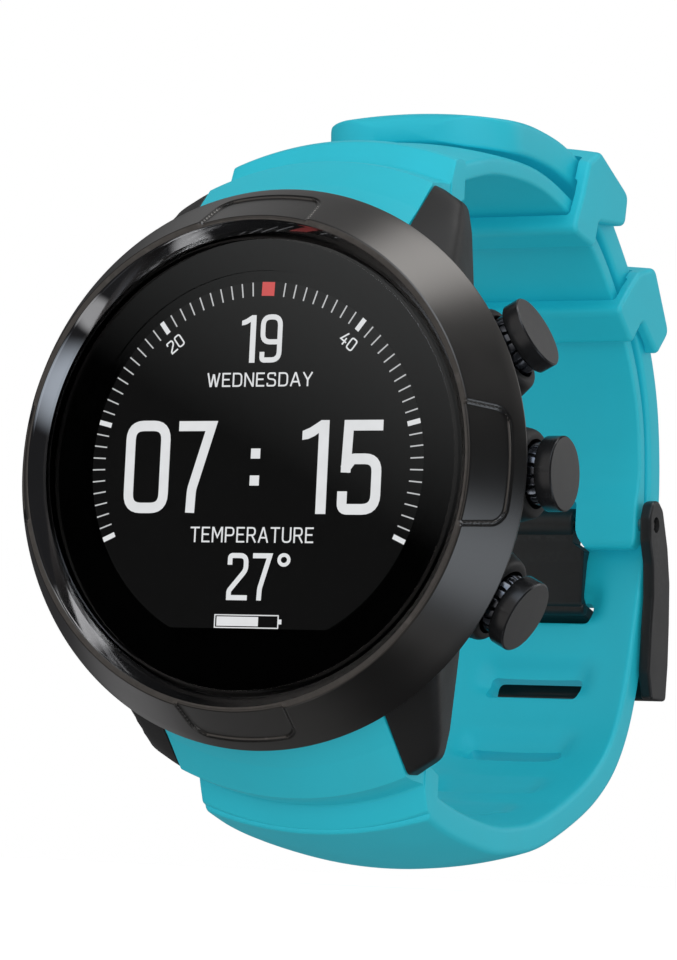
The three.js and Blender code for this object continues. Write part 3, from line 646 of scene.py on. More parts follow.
def case_mesh():
    shell = solid(turned(rounded([
        (19.2, -12.4), (23.4, -12.4), (23.4, -10.4), (25.4, -10.4), (20.8, -0.4), (19, -0.4), (19, -2.2),
        (14, -2.2), (14, -3.4), (19.2, -3.4),
    ], [0, 0.1, 0, 0.25, 0.35, 0.12, 0, 0, 0, 0]), 160))
    boss_outline = rounded([(0, 19.6), (5.5, 19.6), (4.05, 25.3), (0, 25.3)], [0, 0, 0.75, 0], 6)
    pad = solid(slab(rounded(rectangle(-8.8, -6.5, -4.2, 6.5), 1.2, 6), -24.2, -20, 0.3))
    bosses = [solid(at_button(turned(boss_outline, 72, "X"), a)) for a in BUTTON_ANGLES.values()]
    lugs = [lug_mesh(sx, sz) for sx in (1, -1) for sz in (1, -1)]
    joined = carve(shell, [*bosses, pad, *lugs], "UNION")
    posts = [solid(s) for s in at_screws(plug(1.5, -7, -2.4))]
    inside = carve(solid(plug(19.2, -13.4, -3.4, 160)), posts)
    bore = rounded([(0, 18), (2.75, 18), (2.75, 23.6), (3.15, 23.6), (3.15, 25.1), (3.4, 25.6), (0, 25.6)], 0)
    bores = [solid(at_button(turned(bore, 64, "X"), a)) for a in BUTTON_ANGLES.values()]
    screw_holes = [solid(s) for s in at_screws(plug(0.8, -6.4, 0))]
    contact_holes = [solid(moved(rod(1, -26, -18, 32, 0), 0, CONTACT_Y, z)) for z in CONTACT_ZS]
    bar_holes = [solid(moved(rod(0.65, -13.4, 13.4, 24, 0), 0, BAR_Y, sz * BAR_Z)) for sz in (1, -1)]
    return carve(joined, [inside, *bores, *screw_holes, *contact_holes, *bar_holes])


def make_case():
    piece("case_body", case_mesh(), CASE_BLACK, stands_for=["case_middle"])


def make_case_back():
    disc = turned(rounded([
        (0, -1.9), (14.3, -1.9), (14.3, -1.3), (15.7, -1.3), (15.7, -1.9), (BACK_R, -1.9), (BACK_R, 0),
        (15.55, 0), (15.4, -0.12), (15.1, -0.12), (14.95, 0), (11.05, 0), (10.9, -0.1), (10.7, -0.1),
        (10.55, 0), (0, 0),
    ], [0, 0, 0, 0, 0, 0.1, 0.35, *[0.03] * 8, 0]), 160)
    head = turned([(0, -3), (0.8, -3), (0.8, -1.1), (1.6, -1.1), (1.6, -0.25), (1.85, 0.1), (0, 0.1)], 40)
    heads = [solid(s) for s in at_screws(head)]
    port = turned([(0, -2), (0.45, -2), (0.45, -0.15), (0.6, 0.1), (0, 0.1)], 24)
    ports = [
        solid(moved(port, PORT_RING * cosine(turn), 0, SENSOR_Z + PORT_RING * sine(turn)))
        for turn in (45, 135, 225, 315)
    ]
    pocket = solid(moved(plug(2.9, -3, -1.1, 48), 0, 0, SENSOR_Z))
    plate = carve(solid(disc), [*heads, pocket, *ports])
    piece("case_back_plate", plate, BACK_STEEL, CASE, ["case_back"])
    make_back_screws()


def make_back_screws():
    for index, angle in enumerate(SCREW_ANGLES, 1):
        head = solid(turned(rounded([
            (0, -6), (0.6, -6), (0.6, -0.95), (1.4, -0.95), (1.4, -0.15), (0, -0.15),
        ], [0, 0.2, 0, 0.05, 0.18, 0]), 48))
        slot = solid(block(-1.0, 1.0, -0.5, 0.5, -0.19, 0.19))
        place = Matrix.Translation((SCREW_R * cosine(angle) * MM, 0, SCREW_R * sine(angle) * MM))
        turn = place @ Matrix.Rotation(math.radians(angle * 1.7), 4, "Y")
        screw = carve(head, [slot])
        screw.transform(turn)
        name = f"case_back_screw_{index}"
        piece(f"{name}_turned", screw, STEEL, CASE, [name])


def make_contacts():
    for index, z in enumerate(CONTACT_ZS, 1):
        pin = turned(rounded([
            (0, -24.3), (0.8, -24.3), (0.8, -21.5), (0.5, -21.5), (0.5, -18.4), (0, -18.4),
        ], [0, 0.25, 0, 0, 0.1, 0]), 40, "X")
        name = f"charging_contact_{index}"
        piece(f"{name}_pin", solid(moved(pin, 0, CONTACT_Y, z)), GOLD, CASE, [name])


# ---- crystal and display
EDGE_TILT = 0.98  # faces that lean more than this belong to the crystal's edge
BORDER_INNER_R, BORDER_OUTER_R = 18.3, 21.28


def make_crystal():
    disc = turned(rounded([
        (0, CRYSTAL_FRONT_Y), (CRYSTAL_R - 0.42, CRYSTAL_FRONT_Y), (CRYSTAL_R - 0.25, CRYSTAL_FRONT_Y),
        (CRYSTAL_R, CRYSTAL_FRONT_Y + 0.22), (CRYSTAL_R, CRYSTAL_BACK_Y), (CRYSTAL_R - 0.3, CRYSTAL_BACK_Y),
        (0, CRYSTAL_BACK_Y),
    ], [0, 0, 0.12, 0.12, 0.05, 0, 0], 6), 200)
    mesh = solid(disc)
    piece("crystal_glass", mesh, [GLASS, GLASS_EDGE], stands_for=["crystal"])
    for face in mesh.polygons:
        if abs(face.normal.y) < EDGE_TILT:
            face.material_index = 1
    front, back = CRYSTAL_BACK_Y + 0.03, CRYSTAL_BACK_Y + 0.07
    mask = turned(rectangle(BORDER_INNER_R, front, BORDER_OUTER_R, back), 160)
    piece("crystal_border", solid(mask), DISPLAY_BLACK)
    body = turned(rounded(rectangle(0, DISPLAY_Y, DISPLAY_R, DISPLAY_HIGH.y), [0, 0.08, 0.08, 0]), 128)
    piece("display_body", solid(body), DISPLAY_BLACK, stands_for=["display_module"])


MARK_Y, MARK_BACK = DISPLAY_Y - 0.05, DISPLAY_Y - 0.01
ACTIVE_R = 17.25
ACTIVE_FLAT_Z = -15.2
TICK_STEP = 3.808
TICKS = 61
TICK_R = 16.56
TICK_LENGTH = 1.3


def flat(outline, front, back):
    """A plate facing -Y with an (x, z) outline, between two depths."""
    return loft([[(x, y, z) for x, z in outline] for y in (front, back)])


def mark(outline):
    """A printed mark of the dial with an (x, z) outline."""
    return flat(outline, MARK_Y, MARK_BACK)


def stroke(points, width, closed=False):
    """A printed ribbon of even width along (x, z) points."""
    count = len(points)
    left, right = [], []
    for i in range(count):
        here = Vector(points[i])
        before = Vector(points[i - 1]) if closed or i > 0 else None
        after = Vector(points[(i + 1) % count]) if closed or i < count - 1 else None
        pairs = [(a, b) for a, b in ((before, here), (here, after)) if a is not None and b is not None]
        steps = [s for s in [(b - a).normalized() for a, b in pairs] if s.length > 0.5]
        normals = [Vector((-s.y, s.x)) for s in steps]
        mean = sum(normals, Vector((0, 0))).normalized()
        reach = width / 2 / max(mean.dot(normals[0]), 0.5)
        left.append(tuple(here + mean * reach))
        right.append(tuple(here - mean * reach))
    vertices, faces = [], []
    for y in (MARK_Y, MARK_BACK):
        vertices += [(x, y, z) for x, z in left] + [(x, y, z) for x, z in right]
    for i in range(count if closed else count - 1):
        j = (i + 1) % count
        faces.append((i, j, count + j, count + i))
        faces.append((2 * count + i, 2 * count + j, 3 * count + j, 3 * count + i))
        faces.append((i, j, 2 * count + j, 2 * count + i))
        faces.append((count + i, count + j, 3 * count + j, 3 * count + i))
    if not closed:
        faces.append((0, count, 3 * count, 2 * count))
        faces.append((count - 1, 2 * count - 1, 4 * count - 1, 3 * count - 1))
    return vertices, faces


# Each letter is a list of strokes in a box 1 wide and 1 high. A stroke is (points, corner radius, closed).
LETTERS = {
    "0": [([(0, 0), (1, 0), (1, 1), (0, 1)], 0.36, True)],
    "2": [([(0, 0.84), (0, 1), (1, 1), (1, 0.66), (0, 0.16), (0, 0), (1, 0)], [0, 0.45, 0.45, 0.6, 0.3, 0, 0],
           False)],
    "4": [([(0.6, 1), (0, 0.28), (1, 0.28)], 0, False), ([(0.75, 0.55), (0.75, 0)], 0, False)],
    "5": [([(1, 1), (0.12, 1), (0.08, 0.5)], 0, False),
          ([(0.12, 0.52), (0.26, 0.6), (1, 0.6), (1, 0), (0, 0), (0, 0.15)],
           [0, 0.15, 0.4, 0.4, 0.4, 0], False)],
    "7": [([(0, 1), (0.93, 1), (0.36, 0.22), (0.34, 0)], [0, 0, 0.9, 0], False)],
    "9": [([(1, 0.42), (0, 0.42), (0, 1), (1, 1), (1, 0), (0, 0), (0, 0.13)], [0, *[0.45] * 5, 0], False)],
    "A": [([(0, 0), (0.46, 1), (0.54, 1), (1, 0)], 0, False), ([(0.25, 0.3), (0.75, 0.3)], 0, False)],
    "D": [([(0, 0), (1, 0), (1, 1), (0, 1)], [0, 0.45, 0.45, 0], True)],
    "E": [([(1, 0), (0, 0), (0, 1), (1, 1)], 0, False), ([(0.1, 0.52), (0.85, 0.52)], 0, False)],
    "M": [([(0, 0), (0, 1), (0.08, 1), (0.5, 0.32), (0.92, 1), (1, 1), (1, 0)], 0, False)],
    "N": [([(0, 0), (0, 1), (0.06, 1), (0.94, 0), (1, 0), (1, 1)], 0, False)],
    "P": [([(0, 0), (0, 1), (1, 1), (1, 0.45), (0.1, 0.45)], [0, 0, 0.4, 0.4, 0], False)],
    "R": [([(0, 0), (0, 1), (0.95, 1), (0.95, 0.47), (0.1, 0.47)], [0, 0, 0.4, 0.4, 0], False),
          ([(0.55, 0.47), (1, 0)], 0, False)],
    "S": [([(0.93, 0.84), (0.93, 1), (0.05, 1), (0.05, 0.56), (0.98, 0.48), (0.98, 0), (0, 0), (0, 0.16)],
           [0, *[0.42] * 6, 0], False)],
    "T": [([(0, 1), (1, 1)], 0, False), ([(0.5, 0.9), (0.5, 0)], 0, False)],
    "U": [([(0, 1), (0, 0), (1, 0), (1, 1)], [0, 0.45, 0.45, 0], False)],
    "W": [([(0, 1), (0.22, 0), (0.28, 0), (0.47, 0.9), (0.53, 0.9), (0.72, 0), (0.78, 0), (1, 1)], 0, False)],
    "Y": [([(0, 1), (0.5, 0.45), (1, 1)], 0, False), ([(0.5, 0.5), (0.5, 0)], 0, False)],
}
ONE = [
    (0, 0.79), (0, 0.885), (0.28, 0.92), (0.52, 0.965), (0.7, 1), (1, 1), (1, 0), (0.62, 0),
    (0.62, 0.865), (0.45, 0.83), (0.22, 0.8),
]


def square_ended(points, reach):
    """An open stroke carried on at both ends by the reach."""
    first, second, last_but_one, last = (Vector(points[i]) for i in (0, 1, -2, -1))
    start = first + (first - second).normalized() * reach
    end = last + (last - last_but_one).normalized() * reach
    return [tuple(start), *points[1:-1], tuple(end)]


def letter(name, low, high, width):
    """One letter whose ink fills the box from low to high, drawn with a line of that width."""
    if name == "1":
        spot = [(lerp(low[0], high[0], x), lerp(low[1], high[1], z)) for x, z in ONE]
        return mark(spot)
    inner_low = Vector(low) + Vector((width, width)) / 2
    size = Vector(high) - Vector((width, width)) / 2 - inner_low
    shapes = []
    for points, radius, closed in LETTERS[name]:
        real = [(inner_low.x + x * size.x, inner_low.y + z * size.y) for x, z in points]
        radii = [r * size.x for r in radius] if isinstance(radius, list) else radius * size.x
        line = rounded(real, radii, 6, closed)
        shapes.append(stroke(line if closed else square_ended(line, width / 2), width, closed))
    return together(*shapes)


def word(text, low, high, width, gap):
    """A word set evenly across a box."""
    weights = [{"M": 1.18, "W": 1.35, "E": 0.88, "A": 1.08}.get(c, 1.0) for c in text]
    unit = (high[0] - low[0] - gap * (len(text) - 1)) / sum(weights)
    x, shapes = low[0], []
    for c, weight in zip(text, weights):
        shapes.append(letter(c, (x, low[1]), (x + unit * weight, high[1]), width))
        x += unit * weight + gap
    return together(*shapes)


def ringed(shape, degrees, radius):
    """Moves a shape from the middle of the dial out along 12 o'clock, then turns it clockwise."""
    turn = Matrix.Rotation(math.radians(degrees), 4, "Y")
    return placed(shape, turn @ Matrix.Translation((0, 0, radius)))


def tick(width):
    half, reach = width / 2, TICK_LENGTH / 2
    return mark(rectangle(-half, -reach, half, reach))


def make_dial():
    sweep = math.degrees(math.acos(ACTIVE_FLAT_Z / ACTIVE_R))
    arc = [math.radians(a) for a in spread(-sweep, sweep, 90)]
    active = [(ACTIVE_R * math.sin(a), ACTIVE_R * math.cos(a)) for a in arc]
    panel = flat(active, DISPLAY_Y - 0.02, DISPLAY_Y - 0.005)
    piece("display_panel", solid(panel), PANEL_GLOW)
    thin, bold = [], []
    middle = TICKS // 2
    for index in range(TICKS):
        if index in (middle, middle + 1):
            continue
        some, width = (bold, 0.46) if index % 10 == 0 else (thin, 0.12)
        some.append(ringed(tick(width), (index - middle) * TICK_STEP, TICK_R))
    marker = ringed(tick(math.radians(TICK_STEP) * TICK_R * 1.18), TICK_STEP * 0.45, TICK_R)
    numbers = [
        *[ringed(word(text, (-0.86, -0.62), (0.86, 0.62), 0.14, 0.18), turn * TICK_STEP, 14.62)
          for text, turn in (("20", -10), ("40", 10))],
        word("WEDNESDAY", (-5.45, 7.38), (5.53, 8.7), 0.15, 0.24),
        word("TEMPERATURE", (-6.42, -7.2), (6.39, -5.75), 0.15, 0.24),
        letter("1", (-2.08, 9.63), (-0.6, 14.1), 0.48),
        letter("9", (-0.09, 9.63), (2.17, 14.15), 0.48),
        letter("0", (-13.75, -4.5), (-9.05, 4.24), 0.98),
        letter("7", (-8.17, -4.45), (-4.04, 4.18), 0.94),
        letter("1", (4.78, -4.5), (7.5, 4.2), 1.0),
        letter("5", (8.63, -4.55), (13.0, 4.2), 0.98),
        letter("2", (-2.34, -12.57), (-0.19, -8.18), 0.47),
        letter("7", (0.27, -12.57), (2.36, -8.18), 0.47),
    ]
    for z in (1.11, -1.41):
        numbers.append(mark(rectangle(-0.48, z - 0.47, 0.48, z + 0.47)))
    degree = [(3.48 + 0.5 * cosine(a), -8.78 + 0.46 * sine(a)) for a in range(0, 360, 15)]
    numbers.append(stroke(degree, 0.34, True))
    numbers.append(stroke(rectangle(-3.42, -15.12, 3.17, -13.95), 0.1, True))
    numbers.append(mark(rectangle(-3.22, -14.97, 1.1, -14.1)))
    numbers.append(mark(rectangle(3.22, -14.75, 3.52, -14.3)))
    for name, shapes, material in (
        ("dial_ticks", thin, MARK_DIM), ("dial_bold_ticks", bold, MARK_WHITE),
        ("dial_marker", [marker], MARK_RED), ("dial_figures", numbers, MARK_WHITE),
    ):
        piece(name, solid(together(*shapes)), material, flats=False)


# ---- buttons
CAP_INNER = 26.42
NOTCHES = 18


def collar_shape():
    """The bright castellated collar behind a cap: a ring whose edge is cut by rounded notches."""
    segments = NOTCHES * 16
    rings = []
    for x, base in ((25.0, 2.7), (25.12, 2.92), (26.0, 2.92), (26.2, 2.8), (CAP_INNER + 0.1, 2.8)):
        ring = []
        for k in range(segments):
            angle = 2 * math.pi * k / segments
            notch = smoothstep(math.cos(NOTCHES * angle), 0.5, 0.9) if x < 26.1 else 0.0
            radius = base - 0.14 * notch
            ring.append((x, radius * math.sin(angle), radius * math.cos(angle)))
        rings.append(ring)
    return loft(rings)


def cap_outline():
    """A cap with its stem, from the stem's end to the pressed face."""
    return rounded([
        (0, STEM_END), (1.2, STEM_END), (1.2, 18.7), (0.8, 18.7), (0.8, 19.5), (1.2, 19.5), (1.2, 21),
        (0.8, 21), (0.8, 22), (1.2, 22), (1.2, 26.3), (2.4, 26.3), (2.4, CAP_INNER),
        (CAP_R - 0.16, CAP_INNER), (CAP_R, CAP_INNER + 0.16), (CAP_R, CAP_OUTER - 0.15),
        (CAP_R - 0.15, CAP_OUTER), (0, CAP_OUTER),
    ], [0, 0.1, *[0] * 11, 0.12, 0.12, 0.09, 0.09, 0], 3)


def make_button(name, degrees):
    label = f"button_{name}"

    def add(part, shape, material, body=CASE, stands_for=(), flats=True):
        mesh = solid(at_button(shape, degrees))
        return piece(f"{label}_{part}", mesh, material, body, stands_for, flats=flats)

    outward = Vector((cosine(degrees), 0, sine(degrees)))
    cap = add("cap", turned(cap_outline(), 96, "X"), [CAP_SIDE, CAP_FACE], label, [label])
    for face in cap.data.polygons:
        if face.center.dot(outward) > (CAP_OUTER - 0.02) * MM:
            face.material_index = 1
    add("collar", collar_shape(), COLLAR_METAL, label)
    ring = turned(rounded(rectangle(0.93, 18.95, 1.9, 19.3), 0.06), 48, "X")
    add("clip", ring, STEEL, label, [f"{label}_circlip"])
    turns = [math.pi / 8 * k for k in range(16)]
    seal = turned([(1.13 + 0.22 * math.cos(a), 21.5 + 0.22 * math.sin(a)) for a in turns], 48, "X")
    add("o_ring", seal, SEAL, label, [f"{label}_seal"])
    sleeve = turned(rounded(rectangle(1.45, 19.7, 2.55, 23.3), 0.08), 64, "X")
    add("tube", sleeve, STEEL, CASE, [f"{label}_sleeve"])
    spring = add("wave_spring", wave_spring(), STEEL, CASE, [f"{label}_spring"], flats=False)
    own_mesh(spring)


def make_buttons():
    for name, degrees in BUTTON_ANGLES.items():
        make_button(name, degrees)


def wave_spring():
    """A flat wire wound in three waves, twice round."""
    turns, waves, steps = 2, 3.5, 160
    rings = []
    for k in range(steps + 1):
        angle = 2 * math.pi * turns * k / steps
        x = 23.95 + 0.22 * k / steps * turns / 2 + 0.14 * math.sin(waves * angle)
        rings.append([
            (x + dx, r * math.cos(angle), r * math.sin(angle))
            for r, dx in ((1.6, -0.05), (2.1, -0.05), (2.1, 0.05), (1.6, 0.05))
        ])
    return loft(rings)


# ---- strap
TAIL_LINE = [
    (3.2, -29.1), (8.5, -30.5), (15.4, -31.6), (21.5, -31.9), (30, -31), (40.3, -27.7), (46.8, -24.4),
    (50.7, -20.6), (53.2, -15.6), (55.2, -8.7), (56.9, -1.5), (57.6, 5), (56.8, 12), (54.9, 17.2),
    (51.9, 21.6), (47.5, 26), (42.2, 30.4), (36.8, 33.3), (31.5, 34.7), (25.5, 35.1),
    (20.5, 34.9), (15.5, 34.3),
]
UPPER_LINE = [
    (3.2, 29.1), (10.9, 31.2), (18.8, 32), (25.2, 31.95), (31.4, 31.1), (36.3, 29.9), (41, 27.4),
    (45.8, 23.6), (50, 19.3), (52.9, 14.9), (54.5, 10.6), (55.2, 4.8), (55.2, -1.5),
]
TONGUE_PLACE = Vector((55.5, -7.75))
SLOT_PITCH = 8.5
SLOTS = range(-5, 4)
SLOT_HALF = 5.25
FORK_HALF = 5.2
TONGUE_HALF = 4.9
SLOT_REACH = 1.2


class Path:
    """A smooth line through (y, z) points, read by arc length. side says which way its outer face looks."""

    def __init__(self, points, side, fineness=40):
        self.side = side
        self.places = []
        last = len(points) - 1
        for i in range(last):
            p = [Vector(points[min(max(j, 0), last)]) for j in (i - 1, i, i + 1, i + 2)]
            m0, m1 = (p[2] - p[0]) / 2, (p[3] - p[1]) / 2
            for k in range(fineness):
                t = k / fineness
                self.places.append((2 * p[1] - 2 * p[2] + m0 + m1) * t**3
                                   + (3 * p[2] - 3 * p[1] - 2 * m0 - m1) * t**2 + m0 * t + p[1])
        self.places.append(Vector(points[last]))
        self.lengths = [0.0]
        for a, b in zip(self.places, self.places[1:]):
            self.lengths.append(self.lengths[-1] + (b - a).length)
        self.length = self.lengths[-1]

    def at(self, s):
        """Point, direction and outward normal at arc length s, straight past the ends."""
        low, high = 1, len(self.lengths) - 1
        while low < high:
            middle = (low + high) // 2
            if self.lengths[middle] < s:
                low = middle + 1
            else:
                high = middle
        a, b = self.places[low - 1], self.places[low]
        along = (b - a).normalized()
        point = a + along * (s - self.lengths[low - 1])
        before = self.places[max(low - 3, 0)]
        after = self.places[min(low + 2, len(self.places) - 1)]
        along = (after - before).normalized()
        return point, along, Vector((-along.y, along.x)) * self.side

    def nearest(self, target):
        gaps = [(p - target).length for p in self.places]
        return self.lengths[gaps.index(min(gaps))]


TAIL = Path(TAIL_LINE, -1)
UPPER = Path(UPPER_LINE, 1)
TONGUE_ARC = TAIL.nearest(TONGUE_PLACE)
SLOT_ARCS = [TONGUE_ARC + k * SLOT_PITCH for k in SLOTS]


def section(half, full, low, high, crown_low, crown_high, outer_edge=0.8, inner_edge=0.75, dent=None):
    """A strap's cross-section as (x, height) points: two crowned faces joined by rounded edges."""
    shares = [-1, -0.87, *spread(-0.78, 0.78, 20), 0.87, 1]

    def arch(share):
        return 1 - (share * half / full) ** 2

    top = [(f * half, high + crown_high * arch(f)) for f in shares]
    bottom = [
        (f * half, low + crown_low * arch(f) + (dent(f * half) if dent else 0))
        for f in reversed(shares)
    ]
    radii = [0] * len(shares)
    return rounded(
        top + bottom,
        [outer_edge, *radii[2:], outer_edge, inner_edge, *radii[2:], inner_edge], 5,
    )


def band(path, places, section_at):
    """A solid along a path, where section_at(s) gives its cross-section."""
    rings = []
    for s in places:
        point, _, normal = path.at(s)
        rings.append([(x, point.x + n * normal.x, point.y + n * normal.y) for x, n in section_at(s)])
    return loft(rings)


def slot_dent(s):
    """The hollow moulded round each slot on the wrist side: deepest at the slot's buckle end."""
    gap = min(((s - arc) for arc in SLOT_ARCS), key=abs)
    along = smoothstep(gap, 3.9, 1.1) * smoothstep(gap, -1.5, 0.3)
    return lambda x: 1.05 * along * smoothstep(abs(x), SLOT_HALF + 1.7, SLOT_HALF - 0.4)


def tail_section(s):
    arched = smoothstep(s, 20, 62)
    full = STRAP_HALF - 0.9 * smoothstep(s, 5, 65) - 0.7 * smoothstep(s, 65, 140)
    left = TAIL.length - s
    half = full - 7 / 6 * quarter_round(left, 6)
    rise = quarter_round(left, 1.1)
    thin = rise * 0.9 + quarter_round(s, 0.5)
    high = lerp(2.8, 3.4, arched) - thin
    crown = lerp(1.9, 0.85, arched) - thin * 0.3
    dent = slot_dent(s) if 30 < s < TAIL.length - 30 else None
    return section(half, full, rise * 0.36, high, 1.25 * arched, crown, dent=dent)


def upper_section(s):
    left = UPPER.length - s
    end = smoothstep(s, UPPER.length - 8, UPPER.length - 4)
    half = STRAP_HALF - 1.1 * smoothstep(s, 5, 38) - quarter_round(left, 1.6) * 0.6
    rise = quarter_round(left, 1.0) * 0.7
    thin = rise + quarter_round(s, 0.5)
    crown = lerp(1.8, 0.5, smoothstep(s, 20, UPPER.length))
    return section(half, half, rise - 0.9 * end, 1.75 - thin, 0, crown, 0.7, 0.4)


def strap_end(sz):
    """A strap half's end, which carries the case's cone on between the lugs, then a cove.

    Gives the bodies to join to the strap and the tools to cut from it.
    """
    outline = rounded([
        (25.4, -8.9), (27.7, -5.85), (RIDGE_R, RIDGE_Y), (30.75, -1.2), (30.95, 1.1), (32.2, 1.6),
        (33.3, 2.1), (33.6, 2.8), (33.6, 4.3), (30.2, 4.3), (29.2, 1.5), (21.9, 0.9),
        (21.25, -0.4), (25.1, -8.8),
    ], [0.1, 2.5, 0.5, 0.8, 0.6, 0.8, 0.4, 0.4, 0.3, 0, 0.5, 0.5, 0.3, 0.1], 5)

    def ring(x, d):
        drop = quarter_round(STRAP_HALF - abs(x), 0.1)
        pulled = inset(outline, d)
        return [(x, y, sz * math.sqrt(max((r - drop) ** 2 - x * x, 0))) for r, y in pulled]

    places = bar_ends(-STRAP_HALF, STRAP_HALF, 0.08)
    middle = len(places) // 2
    places[middle:middle] = [(x, 0) for x in spread(-11.6, 11.6, 46)]
    body = loft([ring(x, d) for x, d in places])
    neck = STRAP_HALF - 0.1
    sides = [solid(block(x, x + 2, -12, 1.3, sz * 28 - 12, sz * 28 + 12)) for x in (neck, -neck - 2)]
    bore = moved(rod(BAR_BORE_R, -13, 13, 40, 0), 0, BAR_Y, sz * BAR_Z)
    lever = block(6.2, 10.6, BAR_Y, 3, sz * BAR_Z - 0.8, sz * BAR_Z + 0.8)
    return [carve(solid(body), sides)], [solid(bore), solid(lever)]


def slot_tool(arc):
    """A rounded through hole with a flared mouth on each face."""
    point, along, normal = TAIL.at(arc)
    basis = Matrix((
        (1, 0, 0, 0),
        (0, normal.x, along.x, point.x),
        (0, normal.y, along.y, point.y),
        (0, 0, 0, 1),
    ))
    rings = []
    for height, grow in (
        (-2, 0.5), (0.9, 0.45), (1.35, 0.12), (1.8, 0), (3.4, 0), (3.9, 0.12), (4.3, 0.4), (7, 0.5),
    ):
        half, reach = SLOT_HALF + 0.3 * grow, SLOT_REACH + grow
        outline = rounded(rectangle(-half, -reach, half, reach), 0.75 + grow / 2, 6)
        rings.append([tuple(basis @ Vector((x, height, z))) for x, z in outline])
    return solid(loft(rings))


def band_places(length, count, left):
    """Arc lengths for a band's rings: close at its start, even, then by what is left of it."""
    even = spread(0.5, length - left[0], count)
    return spread(0, 0.5, 6)[:-1] + even + [length - gap for gap in left[1:]]


def make_strap():
    bodies, tools = strap_end(-1)
    places = band_places(TAIL.length, 330, (6, 5, 4, 3, 2.2, 1.5, 1, 0.6, 0.3, 0.1, 0))
    tail = carve(solid(band(TAIL, places, tail_section)), bodies, "UNION")
    tail = carve(tail, [*tools, *[slot_tool(arc) for arc in SLOT_ARCS]])
    piece("strap_tail_rubber", tail, RUBBER_WITH_PAINTED_GLOW, CASE, ["strap_tail"], 40, False)
    bodies, tools = strap_end(1)
    places = band_places(UPPER.length, 170, (2, 1.6, 1.2, 0.9, 0.6, 0.3, 0.1, 0))
    upper = carve(solid(band(UPPER, places, upper_section)), bodies, "UNION")
    bore = solid(moved(rod(PIVOT_BORE_R, -13, 13, 40, 0), 0, PIVOT_Y, PIVOT_Z))
    mouth = rounded([
        (-4, 3.6), (-4, 0.2), (-FORK_HALF, -1.6), (-FORK_HALF, -3), (FORK_HALF, -3), (FORK_HALF, -1.6),
        (4, 0.2), (4, 3.6),
    ], [0.5, 2.4, 0.3, 0, 0, 0.3, 2.4, 0.5], 8)
    fork = solid(loft([[(x, y, z) for x, z in mouth] for y in (50, 60)]))
    upper = carve(upper, [*tools, bore, fork])
    piece("strap_upper_rubber", upper, RUBBER_WITH_PAINTED_GLOW, CASE, ["strap_upper"], 40, False)


# ---- keepers
INNER_CHANNEL_HALF, OUTER_CHANNEL_HALF = 11.35, 11.05


def channel(path, start, end, half, low, high, crown):
    """The room that a keeper leaves for a strap half, a little wider than the strap."""
    outline = section(half, half, low, high, 0, crown, 0.5, 0.5)
    return solid(band(path, spread(start, end, 40), lambda _: outline))


def keeper_mesh(side, radii, out, outer_corners):
    """A loop with a (y, z) side view, whose outer corners are crowned along the direction out."""
    def outline_at(x):
        share = abs(x) / KEEPER_HALF
        lift = 1.3 * (1 - share**2)
        lifted = [(y + out[0] * lift, z + out[1] * lift) for y, z in side[:outer_corners]]
        return rounded(lifted + side[outer_corners:], radii, 5)

    half, edge = KEEPER_HALF, 0.5
    places = [(x, d) for x, d in bar_ends(-half, half, edge) if x < 0]
    places += [(x, 0) for x in spread(-half + edge, half - edge, 24)[1:-1]]
    places += [(x, d) for x, d in bar_ends(-half, half, edge) if x > 0]
    body = solid(loft([[(x, y, z) for y, z in inset(outline_at(x), d)] for x, d in places]))
    inner = channel(UPPER, 22, UPPER.length - 8, INNER_CHANNEL_HALF, -0.3, 4, 1.3)
    outer = channel(TAIL, TAIL.length * 0.53, TAIL.length - 10, OUTER_CHANNEL_HALF, -1, 3.5, 0.95)
    return carve(body, [inner, outer])


def make_keepers():
    front = keeper_mesh([
        (34.3, 36.6), (37.3, 38.2), (45.2, 35), (44.6, 31.6), (37.4, 30.9), (36.6, 28), (30.8, 28.9),
        (33, 33.2),
    ], [1.1, 1.1, 1.3, 1.0, 0.9, 1.0, 1.0, 0.8], (0.38, 0.92), 3)
    piece("keeper_front_loop", front, RUBBER_WITH_PAINTED_GLOW, "keeper_front", ["keeper_front"], sharp=46)
    rear = keeper_mesh([
        (49.2, 27.4), (53.6, 28.6), (58.3, 22.2), (55.2, 19.4), (50.6, 22.4), (47.9, 19.6), (43.6, 22.6),
        (46.6, 25.4),
    ], [0.9, 1.2, 1.3, 0.9, 0.9, 0.9, 0.9, 0.9], (0.8, 0.6), 3)
    piece("keeper_rear_loop", rear, RUBBER_WITH_PAINTED_GLOW, "keeper_rear", ["keeper_rear"], sharp=46)


# ---- buckle
def make_buckle():
    side = rounded([
        (56.4, 3.9), (57.8, 3), (59.6, -0.9), (60.6, -4.7), (60.9, -9), (61, -13.5), (60.7, -17.4),
        (56.6, -17.4), (55.5, -14.6), (55.6, -10), (55.9, -6.5), (55.5, -3), (54.4, -0.6),
        (54.2, 1.8), (54.9, 3.5),
    ], [1.2, 1.2, 2, 2, 2, 1.5, 0.6, 0.7, 1.5, 2, 2, 2, 1.5, 1.2, 1], 5)
    arms = [solid(slab(side, a, b, 0.3)) for a, b in ((ARM_INNER, ARM_OUTER), (-ARM_OUTER, -ARM_INNER))]
    bar = rounded([(59.5, -14.2), (61.1, -14), (60.7, -17.4), (58.7, -17.4)], [0.5, 0.5, 0.6, 0.5])
    crossbar = solid(slab(bar, -ARM_OUTER + 0.4, ARM_OUTER - 0.4, 0.1))
    bore = solid(moved(rod(PIVOT_BORE_R, -13, 13, 40, 0), 0, PIVOT_Y, PIVOT_Z))
    frame_mesh = carve(carve(arms[0], [arms[1], crossbar], "UNION"), [bore])
    piece("buckle_frame_coated", frame_mesh, BUCKLE_BLACK, "buckle_frame", ["buckle_frame"], 46)


